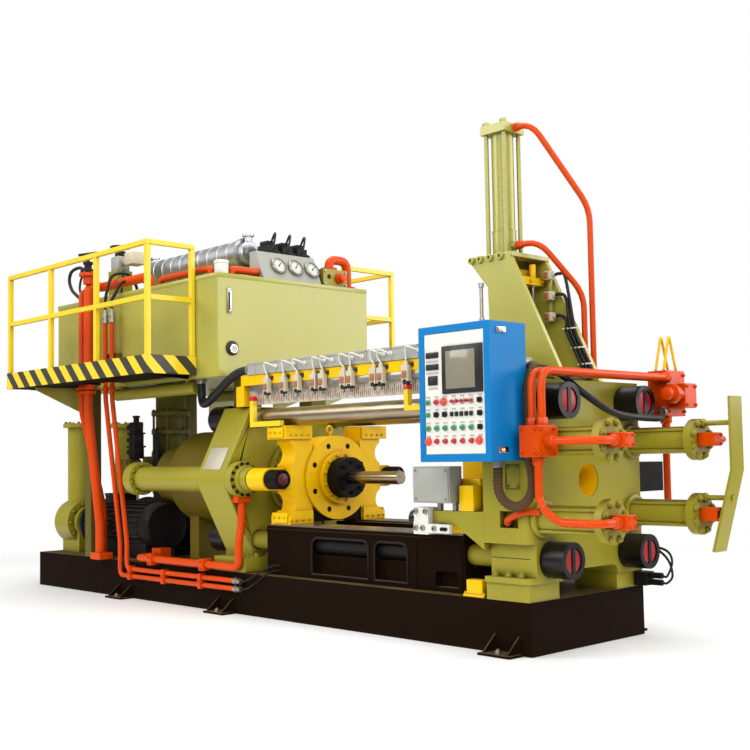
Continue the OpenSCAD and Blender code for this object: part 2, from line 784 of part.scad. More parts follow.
module riser_pipes() {
  x = riser_x;
  y = 75 - tank_yn;
  yb = base_y + 36;
  yt = tank_yn + 60;
  ys = base_y + 42;
  zs = axis_z - gland_d / 2 - 40;
  color(orange) {
    tube(path([[tank_x1 - 1073, yt, tank_top], [tank_x1 - 1073, yt, tank_top + 110],
      [x, yt, tank_top + 110], [x, -y, tank_top + 110], [x, -y, tank_z - 200],
      [x + 70, -yb - 19, base_h + 300], [x + 70, -yb - 19, base_h + 60]], 65), 84, [0.6, 0.5, 0.6]);
    tube(path([[x - 110, yt, tank_top], [x - 110, yt, tank_top + 70], [x - 110, -y, tank_top + 70],
      [x - 110, -y, tank_z - 200], [x - 60, -base_y + 60, base_h + 420], [x - 60, -base_y + 60, base_h]], 50),
      60, [0.6, 0.5, 0.6]);
    for (i = [0, 1])
      tube(path([[x + 300 + 110 * i, -y, tank_z + 590], [x + 300 + 110 * i, -y, tank_z - 100],
        [x + 380 + 110 * i, -yb, base_h + 180],
        [x + 380 + 110 * i, -yb, base_h - 120 + 60 * i],
        [rp_x1, -yb, base_h - 120 + 60 * i]], 60), 42, [0.3, 0.9, -0.5]);
    tube(path([[rp_x1 + 40, -side_y, zs], [rp_x1 + 40, -side_y, zs - 160], [rp_x1 + 40, -ys, zs - 300],
      [rp_x1 + 40, -ys, base_h + 45], [feed_x, -ys, base_h + 45], [feed_x, -base_y + 140, base_h + 45]], 65),
      62, [0.35, 0.55, 0.75]);
  }
}

module switch_beam() {
  color(yellow) {
    box(beam_x0, beam_x1, -beam_y - 30, -beam_y + 40, beam_z, beam_z + 80);
    box(rp_x0 + 230, rp_x1 - 20, -beam_y - 30, -beam_y + 60, rp_top, beam_z);
    box(fp_x0, beam_x1, -beam_y - 30, -beam_y + 40, fp_top, beam_z);
  }
}

module wiring_duct() {
  color(grey)
    box(duct_x0, beam_x1, -beam_y - 40, -beam_y + 40, beam_z + 80, beam_z + 170);
}

module limit_switches() {
  color([0.82, 0.78, 0.68])
    for (x = [300, 500, 660, 850, 940, 1170, 1240, 1480, 1550, 1790, 1960])
      box(rp_x1 + x - 30, rp_x1 + x + 30, -beam_y - 70, -beam_y - 30, beam_z - 70, beam_z + 40);
}

module stroke_scale() {
  color([0.93, 0.92, 0.9])
    box(rp_x1 - 20, fp_x0, -beam_y + 24, -beam_y + 30, beam_z - 150, beam_z);
}

module die_slide() {
  color(black)
    box(fp_x0 + 60, fp_x0 + 240, fp_y, fp_y + 420, axis_z - 110, axis_z + 90);
}

module crosshead() {
  color(yellow)
    difference() {
      union() {
        xcyl(ch_x0, ch_x1, 0, axis_z, hub_d);
        xcyl(ch_x1 - 1, ring_x, 0, axis_z, 400);
        difference() {
          box(ch_x0 + 20, ch_x1 - 20, -460, 460, way_z + 20, shoe_top - 10);
          box(ch_x0, ch_x1, -250, 250, axis_z + 200, shoe_top);
          box(ch_x0, ch_x1, -250, 250, way_z, axis_z - 200);
        }
        both() {
          box(ch_x0 - 20, ch_x1, 260, 520, shoe_top - 100, shoe_top);
          box(ch_x0 - 20, ch_x1, 260, bed_y - 10, way_z + slide, way_z + 100);
          box(ch_x0 + 20, arm_x1, 400, side_y, axis_z - 85, axis_z + 85);
          xcyl(arm_x0, arm_x1, side_y, axis_z, 170);
        }
      }
      both() {
        for (s = [-1, 1])
          xcyl(ch_x0 - 30, ch_x1 + 1, 500, axis_z + s * 185, 180);
        xcyl(arm_x0 - 1, arm_x1 + 1, side_y, axis_z, side_rod_d);
      }
    }
}

module plungers() {
  color(steel) {
    xcyl(ram_x0, ch_x0, 0, axis_z, ram_d);
    both()
      xcyl(side_x0 + 30, arm_x1, side_y, axis_z, side_rod_d);
  }
}

module rod_nuts() {
  color(black)
    both()
      xcyl(arm_x1, arm_x1 + 135, side_y, axis_z, 146);
}

module stem_holder() {
  color(black)
    xcyl(ring_x, holder_x, 0, axis_z, 310);
}

module stem() {
  color(steel)
    xcyl(holder_x, stem_x, 0, axis_z, stem_d);
}

module ram_dog() {
  color(yellow) {
    box(ch_x0 - 210, ch_x1 - 40, -beam_y - 50, -beam_y - 10, shoe_top, shoe_top + 40);
    box(ch_x0 - 210, ch_x0 - 170, -beam_y - 50, -beam_y - 10, shoe_top, beam_z - 96);
  }
}

module container() {
  color(yellow)
    difference() {
      union() {
        box(ct_x0, ct_x1, -340, 340, axis_z - 310, axis_z + 310);
        both() {
          box(ct_x0, ct_x1 - 20, 260, bed_y - 10, way_z + slide, way_z + 100);
          box(ct_x0, ct_x1 - 20, 260, 520, shoe_top - 100, shoe_top);
          box(ct_x1 - 180, ct_x1, 300, cyl_y + 60, axis_z - cyl_z - 60, axis_z + 10);
          box(ct_x1 - 180, ct_x1, 300, cyl_y + 60, axis_z + cyl_z - 70, axis_z + cyl_z + 60);
        }
      }
      xcyl(ct_x0 - 1, ct_x1 + 1, 0, axis_z, stem_d + 2 * bore_gap);
    }
}

module container_rods() {
  color(steel)
    both()
      for (s = [-1, 1])
        xcyl(ct_x1, cyl_x1 - 80, cyl_y, axis_z + s * cyl_z, cyl_rod_d);
}

module container_dog() {
  color(yellow) {
    box(ct_x0 - 330, ct_x0 + 120, -beam_y - 50, -beam_y - 10, shoe_top + 60, shoe_top + 95);
    box(ct_x0 - 330, ct_x0 - 290, -beam_y - 50, -beam_y - 10, shoe_top + 60, beam_z - 96);
    box(ct_x0 + 60, ct_x0 + 120, -beam_y - 50, -beam_y - 10, shoe_top, shoe_top + 61);
  }
}

base_frame();
base_lugs();
bed();
guide_ways();
rear_platen();
main_cylinder();
side_cylinders();
glands();
prefill_valve();
front_platen();
tie_rods_upper();
tie_rods_lower();
tie_rod_nuts();
container_cylinders();
port_blocks();
manifolds();
front_pipes();
valve_handles();
valve_stack();
guard_plate();
shear_tower();
shear_head();
shear_cylinder();
cabinet();
cabinet_panel();
brackets();
lock_block();
junction_box();
conduit();
front_hose();
oil_tank();
tank_supports();
suction_pipe();
walkway();
kickplate();
handrail_posts();
handrail_bars();
gauge_panel();
tank_valves();
cooler();
tank_pipes();
pumps();
motors();
riser_pipes();
tank_hose();
switch_beam();
wiring_duct();
limit_switches();
stroke_scale();
die_slide();
crosshead();
plungers();
rod_nuts();
stem_holder();
stem();
ram_dog();
container();
container_rods();
container_dog();
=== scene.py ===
import math
from itertools import product

import bmesh
import bpy
from mathutils import Matrix, Vector


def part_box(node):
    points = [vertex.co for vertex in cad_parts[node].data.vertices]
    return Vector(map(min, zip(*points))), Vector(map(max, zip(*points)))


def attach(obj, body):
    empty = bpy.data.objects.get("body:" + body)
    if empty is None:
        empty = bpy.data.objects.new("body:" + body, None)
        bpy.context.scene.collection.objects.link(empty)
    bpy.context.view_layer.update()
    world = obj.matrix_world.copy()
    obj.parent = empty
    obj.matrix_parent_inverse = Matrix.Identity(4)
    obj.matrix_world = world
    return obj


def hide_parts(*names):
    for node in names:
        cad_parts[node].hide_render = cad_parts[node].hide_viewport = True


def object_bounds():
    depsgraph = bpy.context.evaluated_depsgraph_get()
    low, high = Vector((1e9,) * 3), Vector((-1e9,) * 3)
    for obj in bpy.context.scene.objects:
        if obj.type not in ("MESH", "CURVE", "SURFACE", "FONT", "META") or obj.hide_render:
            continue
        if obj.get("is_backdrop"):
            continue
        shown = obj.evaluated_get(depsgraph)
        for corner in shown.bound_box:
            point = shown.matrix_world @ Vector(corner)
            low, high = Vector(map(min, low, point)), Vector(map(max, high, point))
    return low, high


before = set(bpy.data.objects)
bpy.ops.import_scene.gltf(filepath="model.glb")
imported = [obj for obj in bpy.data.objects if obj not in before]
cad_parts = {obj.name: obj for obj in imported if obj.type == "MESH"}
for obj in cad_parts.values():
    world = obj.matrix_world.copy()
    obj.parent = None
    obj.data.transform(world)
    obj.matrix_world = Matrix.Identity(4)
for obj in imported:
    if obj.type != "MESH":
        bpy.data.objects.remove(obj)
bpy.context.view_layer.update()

# Camera. It stands where the photograph was taken, at operator height off the exit end, and the
# lens and shift give the photograph's own frame.
EYE = (7.2715, -5.8241, 1.2)
YAW, PITCH, ROLL = 46.34, 3.44, 0.99
camera = bpy.data.objects.new("camera", bpy.data.cameras.new("camera"))
bpy.context.scene.collection.objects.link(camera)
camera.data.sensor_width = 36
camera.data.lens = 54.25
camera.data.shift_x = -0.0051
camera.data.shift_y = 0.0156
camera.matrix_world = (
    Matrix.Translation(EYE)
    @ Matrix.Rotation(math.radians(YAW), 4, "Z")
    @ Matrix.Rotation(math.radians(90 + PITCH), 4, "X")
    @ Matrix.Rotation(math.radians(-ROLL), 4, "Z")
)
bpy.context.scene.camera = camera

# Hoses. The cabinet's wires run in a brown ribbed sleeve that hangs in a loop, and two black rubber
# hoses carry the other leads. Each is pushed on a gland at both ends and keeps its own length.
bench = bmesh.new()  # Pieces are built up here, the hoses in metres, all others in millimetres.


def linear(hex_code):
    """An sRGB hex colour as linear RGBA."""
    channels = [int(hex_code[i : i + 2], 16) / 255 for i in (1, 3, 5)]
    return [c / 12.92 if c < 0.04045 else ((c + 0.055) / 1.055) ** 2.4 for c in channels] + [1]


def add(tree, kind, inputs=(), **properties):
    """One shader node with its properties, socket values and links."""
    node = tree.nodes.new("ShaderNode" + kind)
    for name, value in properties.items():
        setattr(node, name, value)
    for socket, value in dict(inputs).items():
        if isinstance(value, bpy.types.NodeSocket):
            tree.links.new(value, node.inputs[socket])
        else:
            node.inputs[socket].default_value = value
    return node


def noise(tree, place, size, detail, rough=0.5):
    """Noise with spots of that size in millimetres."""
    spots = {"Vector": place, "Scale": 1000 / size, "Detail": detail, "Roughness": rough}
    return add(tree, "TexNoise", spots).outputs["Fac"]


def ramp(tree, value, low, high, first=0, last=1):
    """A value between low and high brought to between first and last."""
    return add(tree, "MapRange", {0: value, 1: low, 2: high, 3: first, 4: last}).outputs[0]


def mix(tree, share, first, second):
    """Two colours mixed by a share."""
    return add(tree, "Mix", {0: share, 6: first, 7: second}, data_type="RGBA").outputs[2]


def sums(tree, operation, *values):
    """One sum on one or two values."""
    return add(tree, "Math", enumerate(values), operation=operation).outputs[0]


def coat(
    name, colour, rough, patch, grain, relief, metal=0, gloss=0, worn=None, chips=0,
    shade_and_grime=0, shade_and_grime_colour="#2b2416", dust=0, settled="#b3a68c", ior=1.45,
):
    """A finish with its wear. patch and grain are the sizes in millimetres of its colour patches and
    of its surface grain, relief is the grain's depth, worn is the colour in chips, grime the colour laid
    darker in closed-in corners as painted shade and soiling, and settled the dust that lies on top."""
    material = bpy.data.materials.new(name)
    material.use_nodes = True
    tree = material.node_tree
    shader = tree.nodes["Principled BSDF"]
    place = add(tree, "TexCoord").outputs["Object"]
    cloud = noise(tree, place, patch, 6, 0.62)
    tint = linear(colour)[:3]
    tone = mix(tree, cloud, [c * 0.84 for c in tint] + [1], [min(1, c * 1.14) for c in tint] + [1])
    rubbed = ramp(tree, cloud, 0.3, 0.7, max(0.02, rough - 0.08), min(1, rough + 0.1))
    if chips:
        bare = ramp(tree, noise(tree, place, 38, 9, 0.7), 0.62, 0.7, 0, chips)
        tone = mix(tree, bare, tone, linear(worn))
    if dust:
        normal = add(tree, "NewGeometry").outputs["Normal"]
        facing = add(tree, "SeparateXYZ", {0: normal}).outputs["Z"]
        lying = ramp(tree, facing, 0.55, 0.98, 0, dust)
        tone = mix(tree, sums(tree, "MULTIPLY", lying, cloud), tone, linear(settled))
    # Painted shade: where ambient occlusion finds a corner closed in, the colour is laid darker,
    # together with soiling.
    if shade_and_grime:
        open_air = add(tree, "AmbientOcclusion", {"Distance": 0.07}, samples=5).outputs["AO"]
        tone = mix(tree, ramp(tree, open_air, 0.25, 0.85, shade_and_grime, 0), tone, linear(shade_and_grime_colour))
    fine = noise(tree, place, grain, 3)
    bump = add(tree, "Bump", {"Height": fine, "Strength": 0.6, "Distance": relief / 1000}).outputs[0]
    tree.links.new(tone, shader.inputs["Base Color"])
    tree.links.new(rubbed, shader.inputs["Roughness"])
    tree.links.new(bump, shader.inputs["Normal"])
    shader.inputs["Metallic"].default_value = metal
    shader.inputs["Coat Weight"].default_value = gloss
    if not metal:
        shader.inputs["IOR"].default_value = ior
    return material


def curve(points, steps=6):
    """The smooth line that a hose takes through its given points."""
    points = [Vector(p) for p in points]
    padded = [2 * points[0] - points[1]] + points + [2 * points[-1] - points[-2]]
    line = []
    for a, b, c, d in zip(padded, padded[1:], padded[2:], padded[3:]):
        for t in (k / steps for k in range(steps)):
            square, cube = 2 * a - 5 * b + 4 * c - d, 3 * b - 3 * c + d - a
            line.append(0.5 * (2 * b + (c - a) * t + square * t * t + cube * t**3))
    return line + [points[-1]]


def skin(rings):
    """Joins rings of points to a closed solid."""
    for low, high in zip(rings, rings[1:]):
        for k in range(len(low)):
            bench.faces.new((low[k - 1], low[k], high[k], high[k - 1]))
    bench.faces.new(reversed(rings[0]))
    bench.faces.new(rings[-1])


def tube(line, radius, sides=12):
    """A round tube along a line; radius is one number, or one for each point."""
    line = [Vector(p) for p in line]
    radii = radius if isinstance(radius, list) else [radius] * len(line)
    across = Vector((0.31, 0.87, 0.39))
    turns = [2 * math.pi * k / sides for k in range(sides)]
    rings = []
    for i, (point, r) in enumerate(zip(line, radii)):
        along = (line[min(i + 1, len(line) - 1)] - line[max(i - 1, 0)]).normalized()
        across = (across - along * across.dot(along)).normalized()
        over = along.cross(across)
        ring = [point + r * (math.cos(a) * across + math.sin(a) * over) for a in turns]
        rings.append([bench.verts.new(p) for p in ring])
    skin(rings)


def turn(at, axis, profile, sides=24):
    """A turned solid: profile holds (radius, height) points about an axis through the point at."""
    spin = Vector(axis).to_track_quat("Z", "Y")
    turns = [2 * math.pi * (k + 0.5) / sides for k in range(sides)]
    rings = []
    for r, height in profile:
        ring = [Vector(at) + spin @ Vector((r * math.cos(a), r * math.sin(a), height)) for a in turns]
        rings.append([bench.verts.new(p) for p in ring])
    skin(rings)


def piece(name, material, body="frame", sharp=38, per_metre=1000):
    """Takes what is on the bench as one object of that material, riding on a body of the press."""
    bmesh.ops.recalc_face_normals(bench, faces=bench.faces)
    for vert in bench.verts:
        vert.co /= per_metre
    mesh = bpy.data.meshes.new(name)
    bench.to_mesh(mesh)
    bench.clear()
    mesh.materials.append(material)
    mesh.shade_smooth()
    mesh.set_sharp_from_angle(angle=math.radians(sharp))
    made = bpy.data.objects.new(name, mesh)
    bpy.context.scene.collection.objects.link(made)
    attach(made, body)
    return made


def hose(name, node, route, diameter, rib, material):
    """A hose from one gland to another; rib is the pitch of its ribs, 0 for a smooth one."""
    line = curve(route, 18 if rib else 5)
    r = diameter / 2
    length = 0
    radii = []
    for i, point in enumerate(line):
        length += (point - line[i - 1]).length if i else 0
        wave = math.sin(2 * math.pi * length / rib) if rib else 0
        radii.append(r * (0.94 + 0.06 * wave))
    tube(line, radii, 16)
    made = piece(name, material, sharp=70, per_metre=1)
    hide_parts(node)
    collar = [(1.3 * r, 0), (1.3 * r, 0.012), (1.14 * r, 0.014), (1.14 * r, 0.032), (1.02 * r, 0.036)]
    for end, inner in ((line[0], line[3]), (line[-1], line[-4])):
        turn(end, inner - end, collar, 20)
    piece(name + "_glands", zinc_plate, per_metre=1)


# Zinc-plated steel, rolled or turned: pale grey and half bright, a little mottled.
zinc_plate = coat("zinc_plated_steel", "#a8a59a", 0.34, 60, 2, 0.05, metal=0.9, shade_and_grime=0.4)
# Braided nylon sleeve over a steel spiral: dull brown-grey, dusty on top.
braided_sleeve = coat(
    "braided_nylon_sleeve", "#523d24", 0.75, 90, 4, 0.8, shade_and_grime=0.5, dust=0.4, settled="#93805c", ior=1.3
)
# Hose rubber, extruded: black, half matt, greyed by dust.
hose_rubber = coat("black_hose_rubber", "#171516", 0.52, 140, 3, 0.2, dust=0.22, ior=1.4)

CONDUIT = [
    (2.935, -0.73, 1.1495), (2.935, -0.73, 1.085), (2.93, -0.729, 1.02), (2.94, -0.724, 0.955),
    (2.98, -0.715, 0.905), (3.04, -0.702, 0.885), (3.098, -0.69, 0.905), (3.132, -0.676, 0.955),
    (3.138, -0.664, 1.02), (3.124, -0.656, 1.09), (3.109, -0.653, 1.15), (3.108, -0.651, 1.23),
    (3.108, -0.65, 1.35), (3.108, -0.65, 1.47), (3.109, -0.648, 1.57), (3.112, -0.622, 1.655),
    (3.095, -0.572, 1.7), (3.045, -0.525, 1.713), (3.01, -0.505, 1.715), (2.9905, -0.505, 1.715),
]
FRONT_HOSE = [
    (2.935, -0.4495, 1.715), (2.935, -0.425, 1.715), (2.948, -0.39, 1.716), (2.985, -0.35, 1.712),
    (3.045, -0.312, 1.692), (3.105, -0.282, 1.645), (3.16, -0.245, 1.582), (3.212, -0.185, 1.52),
    (3.247, -0.1, 1.464), (3.265, 0.0, 1.428), (3.272, 0.12, 1.411), (3.275, 0.25, 1.404),
    (3.275, 0.37, 1.401), (3.27, 0.47, 1.402), (3.248, 0.54, 1.42), (3.223, 0.582, 1.444),
    (3.215, 0.602, 1.45), (3.215, 0.6195, 1.45),
]
TANK_HOSE = [
    (0.2495, -0.49, 1.875), (0.225, -0.49, 1.875), (0.19, -0.497, 1.874), (0.145, -0.515, 1.866),
    (0.1, -0.537, 1.844), (0.05, -0.555, 1.808), (0.0, -0.566, 1.772), (-0.05, -0.568, 1.74),
    (-0.11, -0.566, 1.705), (-0.17, -0.562, 1.675), (-0.23, -0.556, 1.65), (-0.285, -0.548, 1.634),
    (-0.335, -0.538, 1.64), (-0.362, -0.529, 1.68), (-0.37, -0.525, 1.74), (-0.37, -0.525, 1.8),
    (-0.37, -0.525, 1.8355),
]
hose("conduit_sleeve", "conduit", CONDUIT, 0.06, 0.022, braided_sleeve)
hose("front_hose_cover", "front_hose", FRONT_HOSE, 0.045, 0, hose_rubber)
hose("tank_hose_cover", "tank_hose", TANK_HOSE, 0.07, 0, hose_rubber)

# Base. A box welded from plate and brushed with dull dark enamel. Workshop dust lies on its open top,
# and six lugs with gussets hold it down by anchor bolts.
UP, DOWN, FRONT, BACK = (0, 0, 1), (0, 0, -1), (1, 0, 0), (-1, 0, 0)
NEAR, FAR = (0, -1, 0), (0, 1, 0)


def dress(node, material, edge=4, segments=2):
    """Gives a node of the frame its finish and the broken edges that the real piece has."""
    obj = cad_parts[node]
    mesh = obj.data
    if "custom_normal" in mesh.attributes:
        mesh.attributes.remove(mesh.attributes["custom_normal"])
    mesh.shade_smooth()
    mesh.materials.clear()
    mesh.materials.append(material)
    obj.modifiers.new("joined_edges", "WELD").merge_threshold = 0.00005
    bevel = obj.modifiers.new("broken_edges", "BEVEL")
    bevel.width = edge / 1000
    bevel.segments = segments
    bevel.limit_method = "ANGLE"
    bevel.angle_limit = math.radians(38)
    bevel.harden_normals = True


def mm(corners):
    """A node's low and high corner in millimetres."""
    return [corner * 1000 for corner in corners]


def both(off, middle=0):
    """The two places that lie that far off a middle."""
    return middle - off, middle + off


def bolt(at, axis, size):
    """A hex bolt head on its washer; size is its thread."""
    washer, head, end = 0.16 * size, 0.72 * size, 1.1 * size
    turn(at, axis, [(size, 0), (size, washer)], 16)
    turn(at, axis, [(0.88 * size, washer), (0.88 * size, head), (0.74 * size, 0.82 * size)], 6)
    turn(at, axis, [(0.46 * size, 0.8 * size), (0.46 * size, end), (0.38 * size, 1.16 * size)], 10)


def spread(maker, xs, ys, zs, axis, size):
    """One fixing at each mix of x, y and z, which are each one number or several."""
    for at in product(*([v] if isinstance(v, (int, float)) else v for v in (xs, ys, zs))):
        maker(at, axis, size)


# Dull chassis enamel over rolled plate: brown-black, dusty on top, scuffed to grey at the specks.
chassis_enamel = coat(
    "dull_chassis_enamel", "#1a0f07", 0.56, 380, 6, 0.35, worn="#3d2d20", chips=0.3,
    shade_and_grime=0.25, dust=0.85, settled="#8f7650", ior=1.09,
)
dress("base_frame", chassis_enamel, 5)
dress("base_lugs", chassis_enamel, 2)
base_high = mm(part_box("base_frame"))[1]
LUG_X, SOLE = (-1460, 20, 2850), 14
spread(bolt, LUG_X, both(base_high.y + 85), SOLE, UP, 24)
piece("anchor_bolts", zinc_plate)


# Bed. A low box with windows in its side plates carries two ground steel ways, which the crosshead and
# the container slide on. The ways are oiled and bright, the box is the base's own colour.
def ground(name, colour, rough, stain=0):
    """Steel ground along the stroke, drawn by noise that is stretched; stain is its rust bloom."""
    material = coat(name, colour, rough, 260, 3, 0.02, metal=1.0, worn="#5b4630", chips=stain, shade_and_grime=0.35)
    tree = material.node_tree
    place = add(tree, "TexCoord").outputs["Object"]
    drawn = add(tree, "Mapping", {0: place, "Scale": (1.0, 40.0, 40.0)}).outputs[0]
    lines = add(tree, "TexNoise", {"Vector": drawn, "Scale": 3, "Detail": 4}).outputs["Fac"]
    streaks = ramp(tree, lines, 0.3, 0.7, rough - 0.08, rough + 0.14)
    tree.links.new(streaks, tree.nodes["Principled BSDF"].inputs["Roughness"])
    return material


def slab(low, high, edge=3, about=None):
    """A block with rounded edges, turned by the matrix about, if given."""
    low, high = Vector(low), Vector(high)
    block = Matrix.LocRotScale((low + high) / 2, None, high - low)
    verts = bmesh.ops.create_cube(bench, size=1, matrix=block)["verts"]
    if about:
        bmesh.ops.transform(bench, matrix=about, verts=verts)
    edges = list({e for v in verts for e in v.link_edges})
    bmesh.ops.bevel(bench, geom=edges, offset=edge, segments=2, affect="EDGES", profile=0.5)


# Ground steel under a film of oil: grey-brown, bright, with fine lines along the stroke.
oiled_steel = ground("oiled_ground_steel", "#9a8c7a", 0.26)
dress("bed", chassis_enamel, 6)
dress("guide_ways", oiled_steel, 1.5)
bed_low, bed_high = mm(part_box("bed"))
WALL_Y = 500
for y in both(WALL_Y):
    for x in (2020, 2420):
        slab((x - 12, y - 6, base_high.z), (x + 12, y + 6, bed_high.z - 20))
    slab((bed_low.x, y - 8, bed_high.z - 45), (bed_high.x, y + 10, bed_high.z - 20))
piece("bed_ribs", chassis_enamel)
# The same enamel on the bent bars round the windows, rubbed to grey by boots.
rubbed_enamel = coat(
    "rubbed_chassis_enamel", "#251c16", 0.5, 60, 4, 0.2, worn="#6b625a", chips=0.5, dust=0.3, ior=1.2
)
SILL, CORNER = 345, 60
BEND_Z = bed_high.z - 70 - CORNER
for y in both(WALL_Y):
    for x0, x1 in ((960, 1560), (1620, 1940)):
        outline = [(x0, y, SILL)]
        for middle, first in ((x0 + CORNER, 180), (x1 - CORNER, 90)):
            for a in (math.radians(first - 18 * k) for k in range(6)):
                outline.append((middle + CORNER * math.cos(a), y, BEND_Z + CORNER * math.sin(a)))
        tube(outline + [(x1, y, SILL), (x0, y, SILL)], 9, 8)
piece("window_bars", rubbed_enamel)

# Rear platen. A six-sided steel casting on two bolted feet, gloss olive enamel over a cast skin. It
# holds the main and side cylinders, and a blank rating plate is riveted to its slanted face.
# Olive enamel brushed over castings: yellow-green, a little patchy, chipped to primer at specks.
olive_enamel = coat(
    "brushed_olive_enamel", "#9a9029", 0.34, 520, 9, 0.2, gloss=0.05, worn="#6f6a2c", chips=0.3,
    shade_and_grime=0.7, dust=0.08, ior=1.32,
)
dress("rear_platen", olive_enamel, 12, 3)
rear_high = mm(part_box("rear_platen"))[1]
FOOT_TOP = 430
spread(bolt, rear_high.x - 24, (-550, -450, -340, 340, 450, 550), FOOT_TOP, UP, 26)
piece("rear_foot_bolts", olive_enamel)
# Rolled aluminium sheet, satin and faintly warm.
satin_sheet = coat("satin_aluminium_sheet", "#b5af98", 0.5, 70, 2, 0.06, metal=0.25)
slope = Vector((0, 0.26, 0.51)).normalized()
face = Vector((0, -0.51, 0.26)).normalized()
tilt = Matrix((Vector(FRONT), slope, face)).transposed().to_4x4()
plate_at = Matrix.Translation((30, -675, 1190)) @ tilt
slab((-115, -95, 0.5), (115, 95, 3), 1, plate_at)
for x, y in product(both(105), both(85)):
    turn(plate_at @ Vector((x, y, 2)), face, [(5, 0), (5, 2), (2, 3.5)], 10)
piece("rating_plate_blank", satin_sheet)


# Main cylinder and side cylinders. Forged barrels turned and painted, each held by a circle of bolts;
# the glands that seal the plungers are bolted to the platen's front.
def socket(at, axis, size):
    """A socket head cap screw with its hex recess drawn round."""
    rim, top = 0.76 * size, 0.95 * size
    head = [(rim, 0), (rim, 0.85 * size), (0.66 * size, top), (0.42 * size, top)]
    turn(at, axis, head + [(0.4 * size, 0.45 * size)], 14)


def circle(maker, at, axis, radius, count, size, start=0.0):
    """Like fixings set in a circle about an axis."""
    spin = Vector(axis).to_track_quat("Z", "Y")
    for a in (start + 2 * math.pi * k / count for k in range(count)):
        off = Vector((radius * math.cos(a), radius * math.sin(a), 0))
        maker(Vector(at) + spin @ off, axis, size)


for node in ("side_cylinders", "glands"):
    dress(node, olive_enamel, 6)
# The drum's enamel has gone brown under a film of hot oil, and is painted darker still as shade.
browned_shaded_enamel = coat(
    "oil_browned_shaded_olive_enamel", "#75651a", 0.4, 420, 9, 0.2, worn="#5d4d14", chips=0.3,
    shade_and_grime=0.7, dust=0.6, settled="#4a3a10", ior=1.28,
)
dress("main_cylinder", browned_shaded_enamel, 6)
AXIS_Z, SIDE_Y = 1030, 597
side_low = mm(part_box("side_cylinders"))[0]
gland_low, gland_high = mm(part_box("glands"))
circle(bolt, (-1060, 0, AXIS_Z), BACK, 345, 16, 30)
circle(bolt, (gland_low.x + 50, 0, AXIS_Z), FRONT, 292, 16, 22)
for y in both(SIDE_Y):
    circle(bolt, (side_low.x + 110, y, AXIS_Z), FRONT, 121, 8, 18, 0.2)
    circle(socket, (side_low.x, y, AXIS_Z), BACK, 105, 8, 22, 0.2)
piece("cylinder_bolts", olive_enamel)
# Black oxide on turned steel: black with a soft shine and oil in the marks.
black_oxide = coat(
    "black_oxide_steel", "#0e0b0a", 0.34, 80, 3, 0.08, worn="#2a231f", chips=0.3, dust=0.1, ior=1.36
)
for y in both(SIDE_Y):
    circle(socket, (gland_low.x + 80, y, AXIS_Z), FRONT, 122, 14, 15)
piece("gland_screws", black_oxide)
for y in both(SIDE_Y):
    turn((gland_high.x, y, AXIS_Z), FRONT, [(75, 0), (75, 6), (58, 8)], 32)
piece("gland_wipers", hose_rubber)


# Prefill valve. A stack of flanged castings between the cylinder's rear and the tank, pulled together
# by studs, with a flanged branch on the operator side and black pilot valves on and beside it.
def stud(at, axis, size):
    """A plain stud through the whole stack; size is its radius."""
    turn(at, axis, [(size, 0), (size, 400)], 10)


# The valve's enamel is painted darker: painted shade for the shadow under the tank.
shade_darkened_enamel = coat(
    "shade_darkened_olive_enamel", "#625b22", 0.42, 300, 9, 0.2, worn="#3d3815", chips=0.3,
    shade_and_grime=0.7, dust=0.4, settled="#3a3014", ior=1.25,
)
dress("prefill_valve", shade_darkened_enamel, 5)
fill_low, fill_high = mm(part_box("prefill_valve"))
fill_x, fill_y = (fill_low + fill_high).xy / 2
for z in (1260, 1460, 1630):
    circle(bolt, (fill_x, fill_y, z), UP, 157, 8, 18, 0.4)
circle(stud, (fill_x, fill_y, 1250), UP, 157, 4, 11, 0.8)
piece("prefill_studs", shade_darkened_enamel)
BRANCH_X, BRANCH_Z, BRANCH_L = fill_x - 20, 1080, 290
branch = [(85, 0), (85, 160), (130, 162), (130, 200), (85, 202), (85, 260), (120, 262), (120, BRANCH_L)]
turn((BRANCH_X, fill_low.y, BRANCH_Z), NEAR, branch, 28)
circle(bolt, (BRANCH_X, fill_low.y - BRANCH_L, BRANCH_Z), NEAR, 100, 6, 16)
piece("prefill_branch", shade_darkened_enamel)
# Blackened cast iron: nearly black, dull, with a sandy skin.
black_iron = coat(
    "blackened_cast_iron", "#171413", 0.48, 110, 5, 0.3, worn="#3a332d", chips=0.25, dust=0.2, ior=1.3
)
slab((fill_x + 90, fill_low.y - 70, 1000), (fill_x + 170, fill_low.y, 1200), 6)
column = [(34, 0), (34, 100), (38, 102), (38, 130), (27, 132), (27, 230), (14, 234), (14, 280)]
turn((fill_x + 130, fill_low.y - 40, 1200), UP, column, 18)
STACK_X, STACK_Y = fill_x + 10, fill_low.y - 181
STOREYS, HALVES = (1200, 1300, 1318, 1420, 1436, 1530), (50, 62, 48, 60, 45)
for low, high, half in zip(STOREYS, STOREYS[1:], HALVES):
    slab((STACK_X - half, STACK_Y - half, low), (STACK_X + half, STACK_Y + half, high), 4)
for z in (1260, 1370, 1485):
    turn((STACK_X - 40, STACK_Y, z), BACK, [(30, 0), (30, 70), (24, 74), (24, 90), (12, 94)], 18)
turn((STACK_X, STACK_Y, STOREYS[-1]), UP, [(26, 0), (26, 40), (34, 42), (34, 56), (12, 60)], 18)
piece("pilot_valve", black_iron)


# Front platen. A heavy casting on two bolted feet with an arch between them. The exit hole is lined in
# yellow, and a screwed cover sits in the pocket of each side.
def uncap():
    """Takes the flat end faces off the wide rings on the bench."""
    caps = [f for f in bench.faces if len(f.verts) > 30]
    bmesh.ops.delete(bench, geom=caps, context="FACES")


